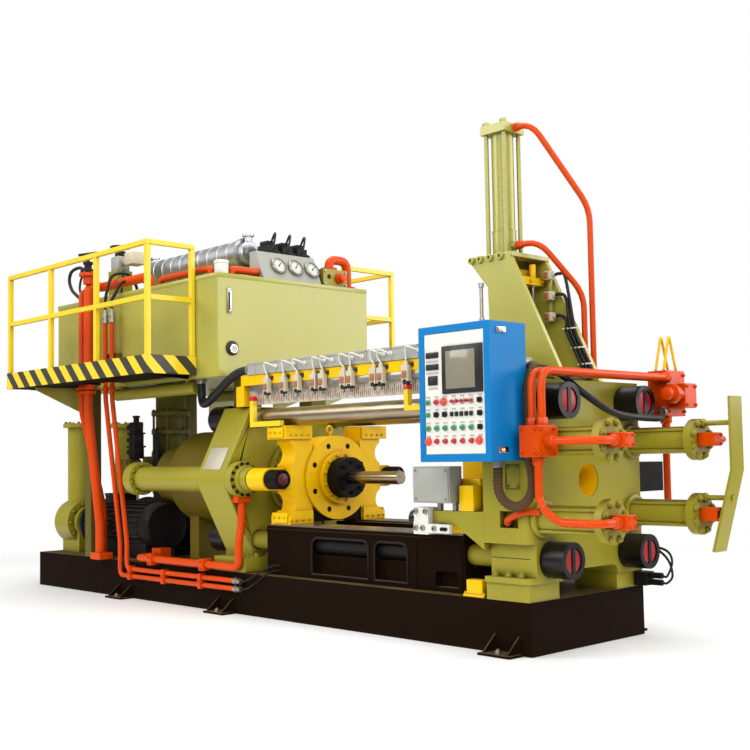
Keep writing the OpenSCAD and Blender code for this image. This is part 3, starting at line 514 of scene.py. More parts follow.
dress("front_platen", olive_enamel, 12, 3)
plate_low = mm(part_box("front_platen"))[0]
spread(bolt, (2760, 2860, 2960), both(565), 455, UP, 26)
for side in (-1, 1):
    slab((2885, side * 592 - 4, 985), (2985, side * 592 + 4, 1125), 2)
    spread(socket, (2897, 2973), side * 596, (998, 1112), (0, side, 0), 10)
piece("front_platen_fittings", olive_enamel)
NECK_Y, SPLIT_Z = 535, 565
for y in both(NECK_Y):
    slab((2702, y - 1.5, SPLIT_Z - 2), (3000, y + 1.5, SPLIT_Z + 2), 0.5)
piece("foot_split_lines", black_oxide)
# Gloss yellow enamel: warm and even, with painted shade and soiling laid darker round the bolts.
yellow_enamel = coat(
    "gloss_yellow_enamel", "#f5c000", 0.34, 300, 7, 0.2, gloss=0.03, worn="#9a7214", chips=0.3,
    shade_and_grime=0.75, shade_and_grime_colour="#5c3602", dust=0.04, ior=1.28,
)
HOLE_Z = 1020
bore = [(98, 8), (102.5, 8), (102.5, 342), (98, 342), (98, 8)]
turn((plate_low.x, 0, HOLE_Z), FRONT, bore, 48)
uncap()
piece("exit_lining", yellow_enamel)

# Tie rods and nuts. The upper rods are ground and oiled, the lower ones painted with the frame. The
# blackened nuts have red discs let into their open ends, on both sides of a bar.
# Ground rod steel, warm with old oil and a bloom of rust.
oiled_rod = ground("oiled_tie_rod_steel", "#a99a80", 0.3, 0.5)
dress("tie_rods_upper", oiled_rod, 2)
# The lower rods are olive where they stand out of the bed; inside the bed they are painted dark as
# shade, seen through the windows.
rod_paint = coat(
    "olive_rod_with_painted_shade", "#948a28", 0.5, 520, 9, 0.2, shade_and_grime=0.7, dust=0.5, settled="#5f4a1c", ior=1.3
)
tree = rod_paint.node_tree
shader = tree.nodes["Principled BSDF"]
painted = shader.inputs["Base Color"].links[0].from_socket
along = add(tree, "SeparateXYZ", {0: add(tree, "TexCoord").outputs["Object"]}).outputs["X"]
bed_middle, bed_half = (bed_low.x + bed_high.x) / 2000, (bed_high.x - bed_low.x) / 2000
off = sums(tree, "ABSOLUTE", sums(tree, "ADD", along, -bed_middle))
shown = ramp(tree, off, bed_half - 0.06, bed_half - 0.03)
tree.links.new(mix(tree, shown, linear("#120d0a"), painted), shader.inputs["Base Color"])
dress("tie_rods_lower", rod_paint, 2)
dress("tie_rod_nuts", black_oxide, 6)
# Red enamel on the rod ends, thin and rubbed.
red_enamel = coat("thin_red_enamel", "#9c1418", 0.38, 60, 4, 0.1, worn="#3c100e", chips=0.4)
nut_low, nut_high = mm(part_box("tie_rod_nuts"))
ROD_Y, ROD_RISE, SUNK_BY = 400, 473, 13.5
for x, way in ((nut_high.x - SUNK_BY, FRONT), (nut_low.x + SUNK_BY, BACK)):
    for y, z in product(both(ROD_Y), both(ROD_RISE, AXIS_Z)):
        turn((x, y, z), way, [(74, 0), (74, 5), (68, 7)], 40)
piece("rod_end_discs", red_enamel)

# Container cylinders. Four honed barrels between the platen and bolted caps, held by thin tie rods and
# painted with the frame. Orange port blocks are screwed to the caps.
# The frame's enamel with oily brown dust along the barrels' tops.
dusty_olive = coat(
    "olive_enamel_under_oily_dust", "#9a9029", 0.36, 420, 9, 0.2, gloss=0.05, worn="#6f6a2c", chips=0.3,
    shade_and_grime=0.7, dust=1.8, settled="#5f4a1c", ior=1.32,
)
dress("container_cylinders", dusty_olive, 3)
cap_low, cap_high = mm(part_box("container_cylinders"))
CYL_Y, CYL_RISE = 474, 230
for y, z in product(both(CYL_Y), both(CYL_RISE, AXIS_Z)):
    circle(bolt, (cap_high.x, y, z), FRONT, 106, 8, 22, math.pi / 8)
    circle(bolt, (cap_high.x - 50, y, z), BACK, 109, 8, 14, math.pi / 8)
    turn((cap_low.x, y, z), FRONT, [(112, 0), (112, 26), (106, 30), (90, 30)], 40)
piece("cap_bolts", olive_enamel)


# Oil pipes and blocks. Steel tube bent cold, with turned unions at the ends, and drilled steel blocks,
# all sprayed gloss orange after fitting.
def union(at, axis, pipe):
    """A hex union with its collar where a pipe of that diameter screws in."""
    r = pipe / 2
    turn(at, axis, [(1.5 * r, 0), (1.5 * r, 10), (1.3 * r, 14)], 20)
    turn(at, axis, [(1.42 * r, 12), (1.42 * r, 40), (1.25 * r, 46), (1.02 * r, 50)], 6)


# Gloss orange enamel: strong and even, with painted shade and soiling laid darker round the unions.
orange_enamel = coat(
    "gloss_orange_enamel", "#d64600", 0.28, 240, 6, 0.15, worn="#852b10", chips=0.25,
    shade_and_grime=0.6, shade_and_grime_colour="#4a1704", dust=0.03, ior=1.28,
)
for node in ("port_blocks", "manifolds"):
    dress(node, orange_enamel, 5)
for node in ("front_pipes", "tank_pipes", "riser_pipes"):
    dress(node, orange_enamel, 2)
THICK_PIPE, THIN_PIPE = 48, 40
PORT_X, PORT_Y = cap_high.x + 60, CYL_Y + 45
NEAR_BLOCK_Y = -700
spread(union, (3175, 3245), NEAR_BLOCK_Y, 1352, UP, THICK_PIPE)
spread(union, (3175, 3245), 620, 1670, NEAR, THICK_PIPE)
union((3280, NEAR_BLOCK_Y, AXIS_Z + CYL_RISE), FRONT, THICK_PIPE)
union((3210, NEAR_BLOCK_Y, 1170), DOWN, THICK_PIPE)
spread(union, PORT_X, -PORT_Y, both(CYL_RISE, AXIS_Z), NEAR, THICK_PIPE)
spread(union, PORT_X, PORT_Y, both(CYL_RISE, AXIS_Z), FAR, THICK_PIPE)
union((3140, 750, 1420), DOWN, THICK_PIPE)
union((3200, 670, 1420), DOWN, THICK_PIPE)
spread(union, 2530, 0, (2575, 3370), FRONT, THIN_PIPE)
union((2878, 240, 1640), UP, THIN_PIPE)
union((2908, 290, 1640), UP, THIN_PIPE)
piece("pipe_unions", orange_enamel)
for y, z in product(both(CYL_Y), both(CYL_RISE, AXIS_Z)):
    spread(socket, cap_high.x + 120, both(31, y), both(28, z), FRONT, 11)
spread(socket, (3160, 3260), -780, (1190, 1330), NEAR, 13)
spread(socket, 3280, (-760, -640), (1190, 1330), FRONT, 13)
spread(socket, 3240, (640, 820), (1450, 1690), FRONT, 14)
spread(socket, 3350, (680, 780), (1490, 1610), FRONT, 13)
pocket = [(2870, -558, 785), (2900, -605, 800), (2970, -625, 828), (3050, -605, 850), (3090, -553, 840)]
tube(curve(pocket), 20, 14)
turn(pocket[0], NEAR, [(30, 0), (30, 22), (24, 26)], 6)
stub = [(52, 0), (52, 50), (64, 52), (64, 85), (42, 89), (42, 140), (32, 145)]
turn((3295, 660, 1560), NEAR, stub, 24)
piece("block_screws", orange_enamel)

# Valve handles and valve stack. Bent round bar handles on the far block, brushed yellow, and a small
# stack of black solenoid valves on the far foot with its leads.
dress("valve_handles", yellow_enamel, 1)
dress("valve_stack", black_iron, 3)
stack_high = mm(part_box("valve_stack"))[1]
for z, sag, drop in ((347, 50, 0), (391, 90, 30)):
    start = Vector((stack_high.x, 537, z))
    bend = [start + Vector(step) for step in ((0, 0, 0), (30, 10, 0), (50, 40, sag), (0, 50, 160))]
    tube(curve(bend + [(3060, 570, 620 - drop), (3000, 605, 660 - drop)]), 8, 8)
piece("valve_leads", hose_rubber)

# Guard plate. Bent sheet steel on two rods in front of the far cylinders, painted with the frame.
# Hex nuts hold the rods to the cylinders' caps.
dress("guard_plate", olive_enamel, 3)
for z in (1360, 900):
    turn((cap_high.x + 0.5, 494, z), FRONT, [(30, 0), (30, 20), (24, 24), (18, 24)], 6)
piece("guard_rod_nuts", olive_enamel)


# Shear tower. Two slanted plates and a cap welded up on the front platen. The yellow head slides between
# them, and the slim cylinder stands on top, clamped by four long studs under a square head.
def tower_edge(z):
    """Where the tower's slanted front edge is at a height."""
    return 2620 + (2500 - z) * 0.479


# Olive enamel sprayed on plate: paler and glossier than on the castings.
sprayed_olive = coat(
    "sprayed_olive_enamel", "#aca746", 0.3, 620, 9, 0.12, gloss=0.2, worn="#77732f", chips=0.25,
    shade_and_grime=0.6, dust=0.08, ior=1.5,
)
for node in ("shear_tower", "shear_cylinder"):
    dress(node, sprayed_olive, 5)
dress("brackets", olive_enamel, 5)
dress("shear_head", yellow_enamel, 6)
shear_low, shear_high = mm(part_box("shear_cylinder"))
head_low, head_high = mm(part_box("shear_head"))
SHEAR_X, STUD_OFF = 2418, 76
for x, y in product(both(STUD_OFF, SHEAR_X), both(STUD_OFF)):
    for z in (shear_low.z, shear_high.z - 30):
        turn((x, y, z), UP, [(26, 0), (26, 22), (22, 26), (16.5, 26)], 6)
turn((SHEAR_X, 0, shear_low.z + 176), UP, [(78, 0), (82.5, 2), (82.5, 8), (76, 12)], 40)
for x, y in ((2475, -120), (2530, -100), (2560, 100), (2320, 120), (2320, -120)):
    bolt((x, y, shear_low.z), UP, 16)
slab((2262, 100, 2460), (2300, 200, 2535), 4)
for x, side in product((2300, 2375, 2460, 2550), (-1, 1)):
    ring = [(24, 0), (24, 16), (21, 20), (12, 20), (11, 8)]
    turn((x, side * 200, 2478), (0, side, 0), ring, 18)
slab((2672, 132, 2050), (2690, 164.5, 2400))
piece("shear_bolts", sprayed_olive)
spread(bolt, head_high.x, (-120, 0, 120), head_low.z + 25, FRONT, 14)
spread(bolt, 2550, (-120, 0, 120), head_low.z + 80, FRONT, 12)
piece("shear_head_bolts", yellow_enamel)
turn((2600, 60, head_low.z), DOWN, [(20, 0), (20, 12), (12, 14), (12, 240), (9, 245)], 16)
turn((2380, -206, 2070), UP, [(12, 0), (12, 220), (18, 222), (18, 250)], 14)
slab((2360, -214, 2050), (2400, -200, 2090))
piece("shear_stroke_rod", zinc_plate)
# White powder coat on plates and boxes, slightly warm.
white_powder = coat("white_powder_coat", "#e5e3d9", 0.4, 300, 4, 0.08, shade_and_grime=0.25)
# Moulded switch housings: warm grey plastic, half matt.
beige_plastic = coat("moulded_beige_plastic", "#c9c0a6", 0.48, 40, 2, 0.05, shade_and_grime=0.5)
# Brown pressed covers on the switch fronts.
brown_cover = coat("brown_switch_cover", "#a5643c", 0.45, 30, 2, 0.04, shade_and_grime=0.4)
SHEAR_SWITCHES = (2360, 2225, 2085)
for z in SHEAR_SWITCHES:
    slab((2664, 90, z - 28), (2726, 134, z + 30), 5)
    turn((2726, 112, z), FRONT, [(13, 0), (13, 16), (9, 18), (9, 24)], 12)
piece("shear_switches", beige_plastic)
for z in SHEAR_SWITCHES:
    slab((2668, 86, z - 22), (2704, 91, z + 22))
piece("shear_switch_covers", brown_cover)
for k, z in enumerate(SHEAR_SWITCHES):
    aside = 30 * k
    bend = [(2748, 112, z), (2780, 118, z + 4), (2810, 140, z - 30)]
    for low in (1980, 1850, 1750):
        if low < z - 100:
            bend.append((tower_edge(low) - aside, 148 - 4 * k, low))
    bend += [(2985 - aside, 145, 1690), (2970 - aside, 90, 1656)]
    bend += [(2950 - aside, -150, 1654), (2940 - 20 * k, -400, 1655)]
    tube(curve(bend), 11, 10)
piece("shear_switch_leads", hose_rubber)
for z in (2000, 1870, 1760):
    slab((tower_edge(z) - 85, 134, z - 5), (tower_edge(z) + 16, 165.5, z + 5), 2)
piece("lead_ties", white_powder)


# Control cabinet. Folded sheet steel with a deep frame, blue powder coat; its white panel carries a
# screen, three meters and rows of buttons. Two chrome latches close it at the side.
def inlay(x0, x1, z0, z1, proud, edge=2.0, back=0):
    """A flat block on the panel, standing proud of it from a depth back."""
    slab((x0, PANEL_Y - proud, z0), (x1, PANEL_Y - back, z1), edge)


def button(x, z, size):
    """A push button: a collar and a domed cap, on the panel's face."""
    cap = [(size, 0), (size, 6), (0.86 * size, 8), (0.8 * size, 18), (0.6 * size, 23), (0.2 * size, 25)]
    turn((x, PANEL_Y, z), NEAR, cap, 18)


# Blue powder coat: even and half gloss with a fine orange-peel skin.
blue_powder = coat("blue_powder_coat", "#0075b6", 0.42, 420, 4, 0.12, shade_and_grime=0.25, dust=0.04, ior=1.27)
dress("cabinet", blue_powder, 5)
dress("cabinet_panel", white_powder, 1)
CABINET_X = mm(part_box("cabinet"))[1].x
PANEL_Y = mm(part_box("cabinet_panel"))[0].y
# Chrome on die-cast handles: a clean mirror, slightly blurred.
chrome = coat("bright_chrome", "#d8d8d6", 0.12, 50, 3, 0.01, metal=1.0)
for z in (1906, 1214):
    slab((CABINET_X, -890, z - 18), (CABINET_X + 8, -805, z + 18))
    turn((CABINET_X + 8, -848, z), FRONT, [(12, 0), (12, 8), (8, 12)], 16)
    slab((CABINET_X + 12, -853, z - 12), (CABINET_X + 20, -843, z + 12), 2)
piece("cabinet_latches", chrome)
# Moulded black plastic bezels, half matt.
black_plastic = coat("moulded_black_plastic", "#1a1a1b", 0.4, 50, 2, 0.05)
inlay(2706, 3024, 1550, 1832, 10, 4)
inlay(2722, 3008, 1562, 1820, 12.5, back=8)
inlay(2575, 2675, 1768, 1803, 7)
inlay(2575, 2675, 1697, 1732, 7)
inlay(2590, 2665, 1606, 1662, 7)
piece("panel_bezels", black_plastic)
# Screen glass, switched off: grey and glossy.
screen_glass = coat("grey_screen_glass", "#857f6d", 0.16, 90, 30, 0.01, gloss=0.2)
inlay(2742, 2970, 1578, 1802, 13.8, 1, 12)
piece("panel_screen", screen_glass)
# Moulded button caps, glossy.
button_green = coat("green_button_plastic", "#1d8a5a", 0.3, 20, 2, 0.02, gloss=0.3)
button_red = coat("red_button_plastic", "#b3212f", 0.3, 20, 2, 0.02, gloss=0.3)
stop_red = coat("bright_red_plastic", "#d8402c", 0.32, 20, 2, 0.02, gloss=0.3)
COLUMNS = [2585 + 68.5 * k for k in range(7)]
FIVE = [2780 + 38 * k for k in range(5)]
ROWS = (1505, 1430, 1350, 1272)
for z in ROWS[:2]:
    button(COLUMNS[0], z, 15)
for x in COLUMNS[:6]:
    button(x, ROWS[2], 16)
piece("green_buttons", button_green)
button(COLUMNS[1], ROWS[0], 17)
for x in FIVE:
    button(x, ROWS[0], 11)
for x in COLUMNS[1:6]:
    button(x, ROWS[3], 17)
piece("red_buttons", button_red)
for x, z in ((COLUMNS[2] - 10, ROWS[0]), (COLUMNS[0], ROWS[3]), (COLUMNS[6] - 10, ROWS[3])):
    button(x, z, 25)
piece("stop_buttons", stop_red)
for x, z in (*product(COLUMNS[1:3], ROWS[1:2]), *product(COLUMNS[6:], ROWS[:3])):
    turn((x, PANEL_Y, z), NEAR, [(18, 0), (18, 6), (14, 8), (14, 14)], 18)
    inlay(x - 5, x + 5, z - 15, z + 15, 28, back=12)
for x in FIVE:
    inlay(x - 16, x + 8, ROWS[1] - 14, ROWS[1] + 14, 10, 3)
    inlay(x - 8, x + 8, ROWS[1] - 10, ROWS[1] + 10, 18, 3, 8)
piece("panel_selectors", black_plastic)
# Engraving stock for labels, left bare: pale grey laminate.
bare_label = coat("bare_grey_label", "#b3b0a8", 0.5, 20, 2, 0.02)
for z, x in product(ROWS, COLUMNS):
    inlay(x - 17, x + 17, z + 26, z + 35, 1.5, 0.5)
for x0, x1, z in ((2575, 2675, 1750), (2575, 2675, 1680), (2590, 2665, 1588)):
    inlay(x0, x1, z - 8, z + 6, 1.5, 0.5)
piece("bare_labels", bare_label)
for z, x in product(ROWS[::2], COLUMNS[:6]):
    turn((x, PANEL_Y, z), NEAR, [(21, 0), (21, 3), (18, 5)], 20)
piece("button_collars", zinc_plate)

# Bracket, lock block and boxes. A welded arm on the platen carries a white clamp block with a black
# roller and a grey junction box; a yellow stop stands on the base below.
dress("lock_block", white_powder, 6)
# Grey powder coat on sheet boxes and trunking.
grey_powder = coat("grey_powder_coat", "#a3a399", 0.42, 260, 4, 0.1, shade_and_grime=0.5, dust=0.1)
dress("junction_box", grey_powder, 5)
lock_low = mm(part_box("lock_block"))[0]
LOCK_Y, LID_Y = lock_low.y - 2, -666
turn((lock_low.x - 1, -592, 790), BACK, [(52, -45), (52, 0), (46, 6), (18, 6)], 28)
spread(socket, (2395, 2425), LOCK_Y, 728, NEAR, 16)
piece("lock_roller", black_oxide)
slab((2138, LOCK_Y, 700), (2450, -607, 757), 5)
piece("lock_foot", white_powder)
for x, z in ((2165, 730), (2225, 730), (2325, 730), (2165, 835), (2250, 835)):
    turn((x, LOCK_Y, z), NEAR, [(18, 0), (18, 10), (14, 14), (8, 14), (7, 4)], 16)
piece("lock_ring_screws", zinc_plate)
slab((2170, LID_Y, 900), (2470, LID_Y + 8, 1110))
spread(socket, (2190, 2450), LID_Y, (915, 1095), NEAR, 9)
piece("junction_box_lid", grey_powder)
slab((2500, -600, 840), (2620, -500, 1000), 6)
slab((2520, -570, base_high.z), (2650, -500, 420), 5)
slab((2500, -580, base_high.z), (2670, -490, base_high.z + 18), 4)
spread(bolt, (2510, 2660), -565, base_high.z + 18, UP, 12)
piece("yellow_stops", yellow_enamel)

# Oil tank. A welded box of folded plate on legs, painted with the frame. A level gauge and a
# thermometer sit on its front, and a folded rim runs round the lid.
dress("oil_tank", sprayed_olive, 6)
# The tank's legs take the same darker enamel, as painted shade.
dress("tank_supports", shade_darkened_enamel, 6)
for node in ("suction_pipe", "pumps"):
    dress(node, olive_enamel, 6)
tank_low, tank_high = mm(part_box("oil_tank"))
END_X, TOP = tank_high.x, tank_high.z
RIM, LIP = 12, 4
for x0, x1, y0, y1 in (
    (tank_low.x, END_X, tank_low.y - LIP, tank_low.y + RIM),
    (tank_low.x, END_X, tank_high.y - RIM, tank_high.y + LIP),
    (END_X - RIM, END_X + LIP, tank_low.y, tank_high.y),
    (tank_low.x - LIP, tank_low.x + RIM, tank_low.y, tank_high.y),
):
    slab((x0, y0, TOP - 30), (x1, y1, TOP + LIP))
for x in (-2200, -1300, -600):
    slab((x - 200, tank_low.y + 350, TOP), (x + 200, tank_low.y + 620, TOP + 12), 4)
    circle(bolt, (x, tank_low.y + 485, TOP + 12), UP, 110, 6, 12)
piece("tank_rim_and_covers", sprayed_olive)
METER_Y, METER_Z = -505, 2055
slab((END_X, -550, 2340), (END_X + 14, -512, 2540), 4)
for z in (2355, 2525):
    turn((END_X + 14, -531, z), FRONT, [(12, 0), (12, 8), (6, 12)], 6)
turn((END_X, METER_Y, METER_Z), FRONT, [(37, 12), (37, 30), (33, 34), (29, 34), (28, 26)], 28)
piece("tank_gauge_frames", chrome)
# Printed card behind the dials, greyed by age.
dial_card = coat("aged_dial_card", "#d0d0c8", 0.45, 30, 2, 0.02, shade_and_grime=0.3, ior=1.3)
turn((END_X + 26, METER_Y, METER_Z), FRONT, [(28.5, 0), (28.5, 1.5), (26, 2)], 28)
piece("tank_gauge_faces", dial_card)
slab((END_X + 12, -538, 2372), (END_X + 16.5, -524, 2508), 2)
turn((END_X, METER_Y, METER_Z + 7), FRONT, [(58, 0), (58, 10), (52, 13), (40, 13)], 28)
swing = Matrix.Translation((END_X + 28, METER_Y, METER_Z)) @ Matrix.Rotation(0.6, 4, "X")
slab((0, -1.5, -8), (1, 1.5, 26), 0.4, swing)
piece("tank_gauge_slots", black_plastic)


# Walkways. Tread plate on folded brackets along both sides of the tank, with striped kickplates and a
# handrail of square tube, welded and painted.
def plate(outline, thick):
    """A flat plate cut to an outline, with its thickness along X."""
    near = [bench.verts.new(Vector(p)) for p in outline]
    far = [bench.verts.new(Vector(p) + Vector((thick, 0, 0))) for p in outline]
    skin([near, far])


# Bright yellow rail enamel.
rail_yellow = coat(
    "bright_rail_yellow", "#efcd20", 0.34, 300, 5, 0.12, gloss=0.2, worn="#b99a25", chips=0.15, shade_and_grime=0.3
)
dress("walkway", chassis_enamel, 3)
dress("handrail_posts", rail_yellow, 4)
dress("handrail_bars", rail_yellow, 4)
# Hazard paint: black bands sprayed slantwise over the yellow.
hazard_paint = coat("striped_hazard_enamel", "#f4cf20", 0.36, 300, 5, 0.12, gloss=0.15, shade_and_grime=0.3)
BAND = 222
tree = hazard_paint.node_tree
shader = tree.nodes["Principled BSDF"]
yellow_tone = shader.inputs["Base Color"].links[0].from_socket
diagonal = {0: add(tree, "TexCoord").outputs["Object"], 1: (1.0, 1.0, 1.0)}
slant = add(tree, "VectorMath", diagonal, operation="DOT_PRODUCT").outputs["Value"]
saw = sums(tree, "FRACT", sums(tree, "MULTIPLY", slant, 1000 / BAND))
striped = mix(tree, sums(tree, "LESS_THAN", saw, 0.5), yellow_tone, linear("#37332e"))
tree.links.new(striped, shader.inputs["Base Color"])
dress("kickplate", hazard_paint, 2)
WALK_Z = mm(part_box("walkway"))[1].z
for x, sides in ((-2250, 2), (-1200, 1), (-550, 1)):
    for wall, tip in ((tank_high.y, 1500), (tank_low.y, -1030))[:sides]:
        plate(((x, wall, 1860), (x, tip, 1860), (x, tip, 1835), (x, wall, 1836)), 12)
        inner = wall + 100 if wall < 0 else wall - 100
        plate(((x, inner, 1836), (x, tip, 1836), (x, inner, 1620)), 12)
piece("walkway_gussets", sprayed_olive)
post_low, post_high = mm(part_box("handrail_posts"))
for y, way in ((post_low.y + 20, -1), (post_high.y - 20, 1)):
    near, far = (18, 45) if way < 0 else (45, 18)
    for k in range(4):
        x = post_low.x + 20 + k * (post_high.x - post_low.x - 40) / 3
        x0, x1 = max(x - 45, post_low.x), min(x + 45, post_high.x)
        slab((x0, y - near, WALK_Z), (x1, y + far, WALK_Z + 8), 2)
        spread(bolt, (x0 + 12, x1 - 12), y - 33 * way, WALK_Z + 8, UP, 8)
piece("rail_foot_plates", rail_yellow)


# Tank top. A folded grey panel with three pressure dials, black solenoid valves with their leads, a
# valve with a handwheel and its switch box, a pipe block, a white breather, and a ribbed aluminium
# cooler lying in two saddles.
def hoop(middle, right, up, radius, thick, steps, sides):
    """A round bar bent to a closed ring."""
    line = []
    for a in (2 * math.pi * k / steps for k in range(steps + 1)):
        off = math.cos(a) * Vector(right) + math.sin(a) * Vector(up)
        line.append(Vector(middle) + radius * off)
    tube(line, thick, sides)


dress("gauge_panel", grey_powder, 4)
dress("tank_valves", black_iron, 5)
# The pipe block and the valve's body are olive, so those faces of the node take the frame's enamel.
valve_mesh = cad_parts["tank_valves"].data
valve_mesh.materials.append(olive_enamel)
for face in valve_mesh.polygons:
    if face.center.y > 0.46 or face.center.x < -1.5:
        face.material_index = 1
# Cast aluminium, brushed: pale and soft-bright.
brushed_aluminium = coat("brushed_aluminium", "#b9babb", 0.34, 60, 3, 0.08, metal=0.85, shade_and_grime=0.5)
dress("cooler", brushed_aluminium, 4)
dial_low, dial_high = mm(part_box("gauge_panel"))
dial_face = Vector((0.24, 0, 0.1)).normalized()
dial_slope = Vector((-0.1, 0, 0.24)).normalized()
dial_middle = Vector((dial_high.x, 0, dial_low.z)) + dial_slope * 130
DIALS = [dial_middle + Vector((0, y, 0)) for y in (10, 190, 370)]
for at in DIALS:
    turn(at, dial_face, [(74, 0), (74, 20), (68, 26), (62, 26), (61, 16)], 36)
piece("dial_cases", zinc_plate)
for at in DIALS:
    turn(at + dial_face * 16, dial_face, [(61.5, 0), (61.5, 1.5), (60, 2)], 36)
piece("dial_faces", dial_card)
tilt = Matrix((Vector(FAR), dial_slope, dial_face)).transposed().to_4x4()
for at, swing in zip(DIALS, (-0.8, -0.7, -0.9)):
    centre = Matrix.Translation(at + dial_face * 18) @ tilt
    for tick in range(13):
        mark = centre @ Matrix.Rotation(math.radians(-135 + 22.5 * tick), 4, "Z")
        slab((-1.5, 44, 0), (1.5, 57, 1), 0.4, mark)
    slab((-2.2, -14, 2), (2.2, 48, 4), 0.6, centre @ Matrix.Rotation(swing, 4, "Z"))
    turn(at + dial_face * 18, dial_face, [(6, 0), (6, 5), (3, 6)], 12)
piece("dial_needles", black_plastic)
SOLENOIDS = (22, 182, 342)
VALVE_X, VALVE_Y, BODY_Z, BONNET_Z = -2003, -300, TOP + 300, TOP + 440
BLOCK_X = END_X - 20
wheel_hub = Vector((VALVE_X, VALVE_Y, BONNET_Z + 90))
for y in SOLENOIDS:
    for z in (TOP + 130, TOP + 240):
        coil = [(36, 0), (36, 55), (30, 60), (30, 75), (14, 78), (14, 90)]
        turn((-180, y + 55, z), FRONT, coil, 20)
    slab((-310, y + 10, TOP + 330), (-200, y + 100, TOP + 370), 10)
hoop(wheel_hub, FRONT, FAR, 85, 12, 28, 8)
spindle = [(50, 0), (50, 50), (20, 55), (20, 100), (30, 102), (30, 110)]
turn((VALVE_X, VALVE_Y, BONNET_Z), UP, spindle, 20)
for a in (0.4 + 2 * math.pi * k / 3 for k in range(3)):
    tube([wheel_hub, wheel_hub + Vector((math.cos(a), math.sin(a), 0)) * 85], 8, 8)
turn((BLOCK_X, 545, TOP + 85), FRONT, [(20, 0), (20, 6), (12, 8)], 6)
piece("tank_solenoids", black_iron)
slab((-2070, -365, BODY_Z), (-1940, -235, BONNET_Z), 12)
turn((-1950, VALVE_Y, TOP + 380), FRONT, [(30, 0), (30, 100), (42, 102), (42, 130)], 20)
piece("valve_bonnet", grey_powder)
slab((-1820, -370, TOP + 330), (-1670, -230, TOP + 445), 8)
piece("valve_switch_box", beige_plastic)
spread(bolt, BLOCK_X, (500, 734), (TOP + 20, TOP + 130), FRONT, 11)
piece("tank_block_bolts", zinc_plate)
for y, z in ((612, TOP + 150), (822, TOP)):
    turn((END_X - 100, y, z), UP, [(72, 0), (72, 22), (46, 28)], 28)
turn((BLOCK_X, 660, TOP + 75), FRONT, [(46, 0), (46, 18), (32, 22), (32, 60), (20, 64)], 24)
piece("tank_pipe_flanges", orange_enamel)
for y in SOLENOIDS:
    loop = [(-200, y + 55, TOP + 360), (-150, y + 50, TOP + 420), (-100, y + 20, TOP + 400)]
    tube(curve(loop + [(-90, y - 10, TOP + 300), (-120, y - 20, TOP + 240)]), 9, 8)
loop = [(-1953, -300, TOP + 250), (-1860, -350, TOP + 280), (-1800, -400, TOP + 160)]
tube(curve(loop + [(-1800, -420, TOP)]), 12, 8)
piece("solenoid_leads", hose_rubber)
cool_low, cool_high = mm(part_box("cooler"))
cool_y, cool_z = (cool_low.y + cool_high.y) / 2, cool_high.z - 120
for x, way in ((cool_low.x, BACK), (cool_high.x, FRONT)):
    lid = [(135, -20), (135, 12), (100, 14), (100, 70), (90, 80), (50, 80), (50, 100), (30, 100)]
    turn((x, cool_y, cool_z), way, lid, 32)
    circle(bolt, (x, cool_y, cool_z), way, 118, 8, 12)
    port = [(34, 0), (34, 50), (50, 52), (50, 70)]
    turn((x + 45 * way[0], cool_y, cool_z + 90), UP, port, 20)
for k in range(9):
    x = cool_low.x + 120 + k * (cool_high.x - cool_low.x - 240) / 8
    turn((x, cool_y, cool_z), FRONT, [(121, -12), (127, -8), (127, 8), (121, 12)], 32)
piece("cooler_ends_and_bands", brushed_aluminium)
breather_at = (-50, tank_low.y + 90, TOP)
turn(breather_at, UP, [(58, 88), (62, 92), (62, 105), (50, 115), (20, 118)], 28)
turn(breather_at, UP, [(55.5, 0), (56.5, 10), (56.5, 80), (55.5, 90)], 28)
piece("breather_cap", white_powder)

# Pumps and motors. Cast pumps with suction risers, coupled to black finned motors that stand on feet
# along the base; ribs and cowl are cast and pressed.
dress("motors", black_iron, 6)
PUMP_Y, PUMP_Z = 260, 600
FIN_X0, FIN_X1 = -2380, -1460
for y in both(PUMP_Y):
    for a in (2 * math.pi * k / 28 for k in range(28)):
        if math.sin(a) >= -0.75:
            spin = Matrix.Translation((0, y, PUMP_Z)) @ Matrix.Rotation(a, 4, "X")
            slab((FIN_X0, 195, -4), (FIN_X1, 222, 4), 1.5, spin)
    cowl = [(205, 0), (212, 10), (212, 130), (190, 160), (120, 165)]
    turn((-1450, y, PUMP_Z), FRONT, cowl, 40)
    turn((-2455, y, PUMP_Z), FRONT, [(170, -12), (225, 0), (225, 30), (205, 40)], 40)
    circle(bolt, (-2450, y, PUMP_Z), BACK, 190, 8, 18, 0.3)
    slab((-2210, y - 95, 860), (-1940, y + 95, 885), 6)
piece("motor_fins_and_cowls", black_iron)
for y in both(PUMP_Y):
    circle(bolt, (-2700, y, PUMP_Z), FRONT, 180, 10, 20)
    circle(bolt, (-2830, y, 1556), UP, 143, 10, 16)
    circle(bolt, (-3020, y, PUMP_Z), BACK, 70, 6, 14)
spread(bolt, (-2920, -2660), both(PUMP_Y - 160), base_high.z, UP, 18)
piece("pump_bolts", olive_enamel)

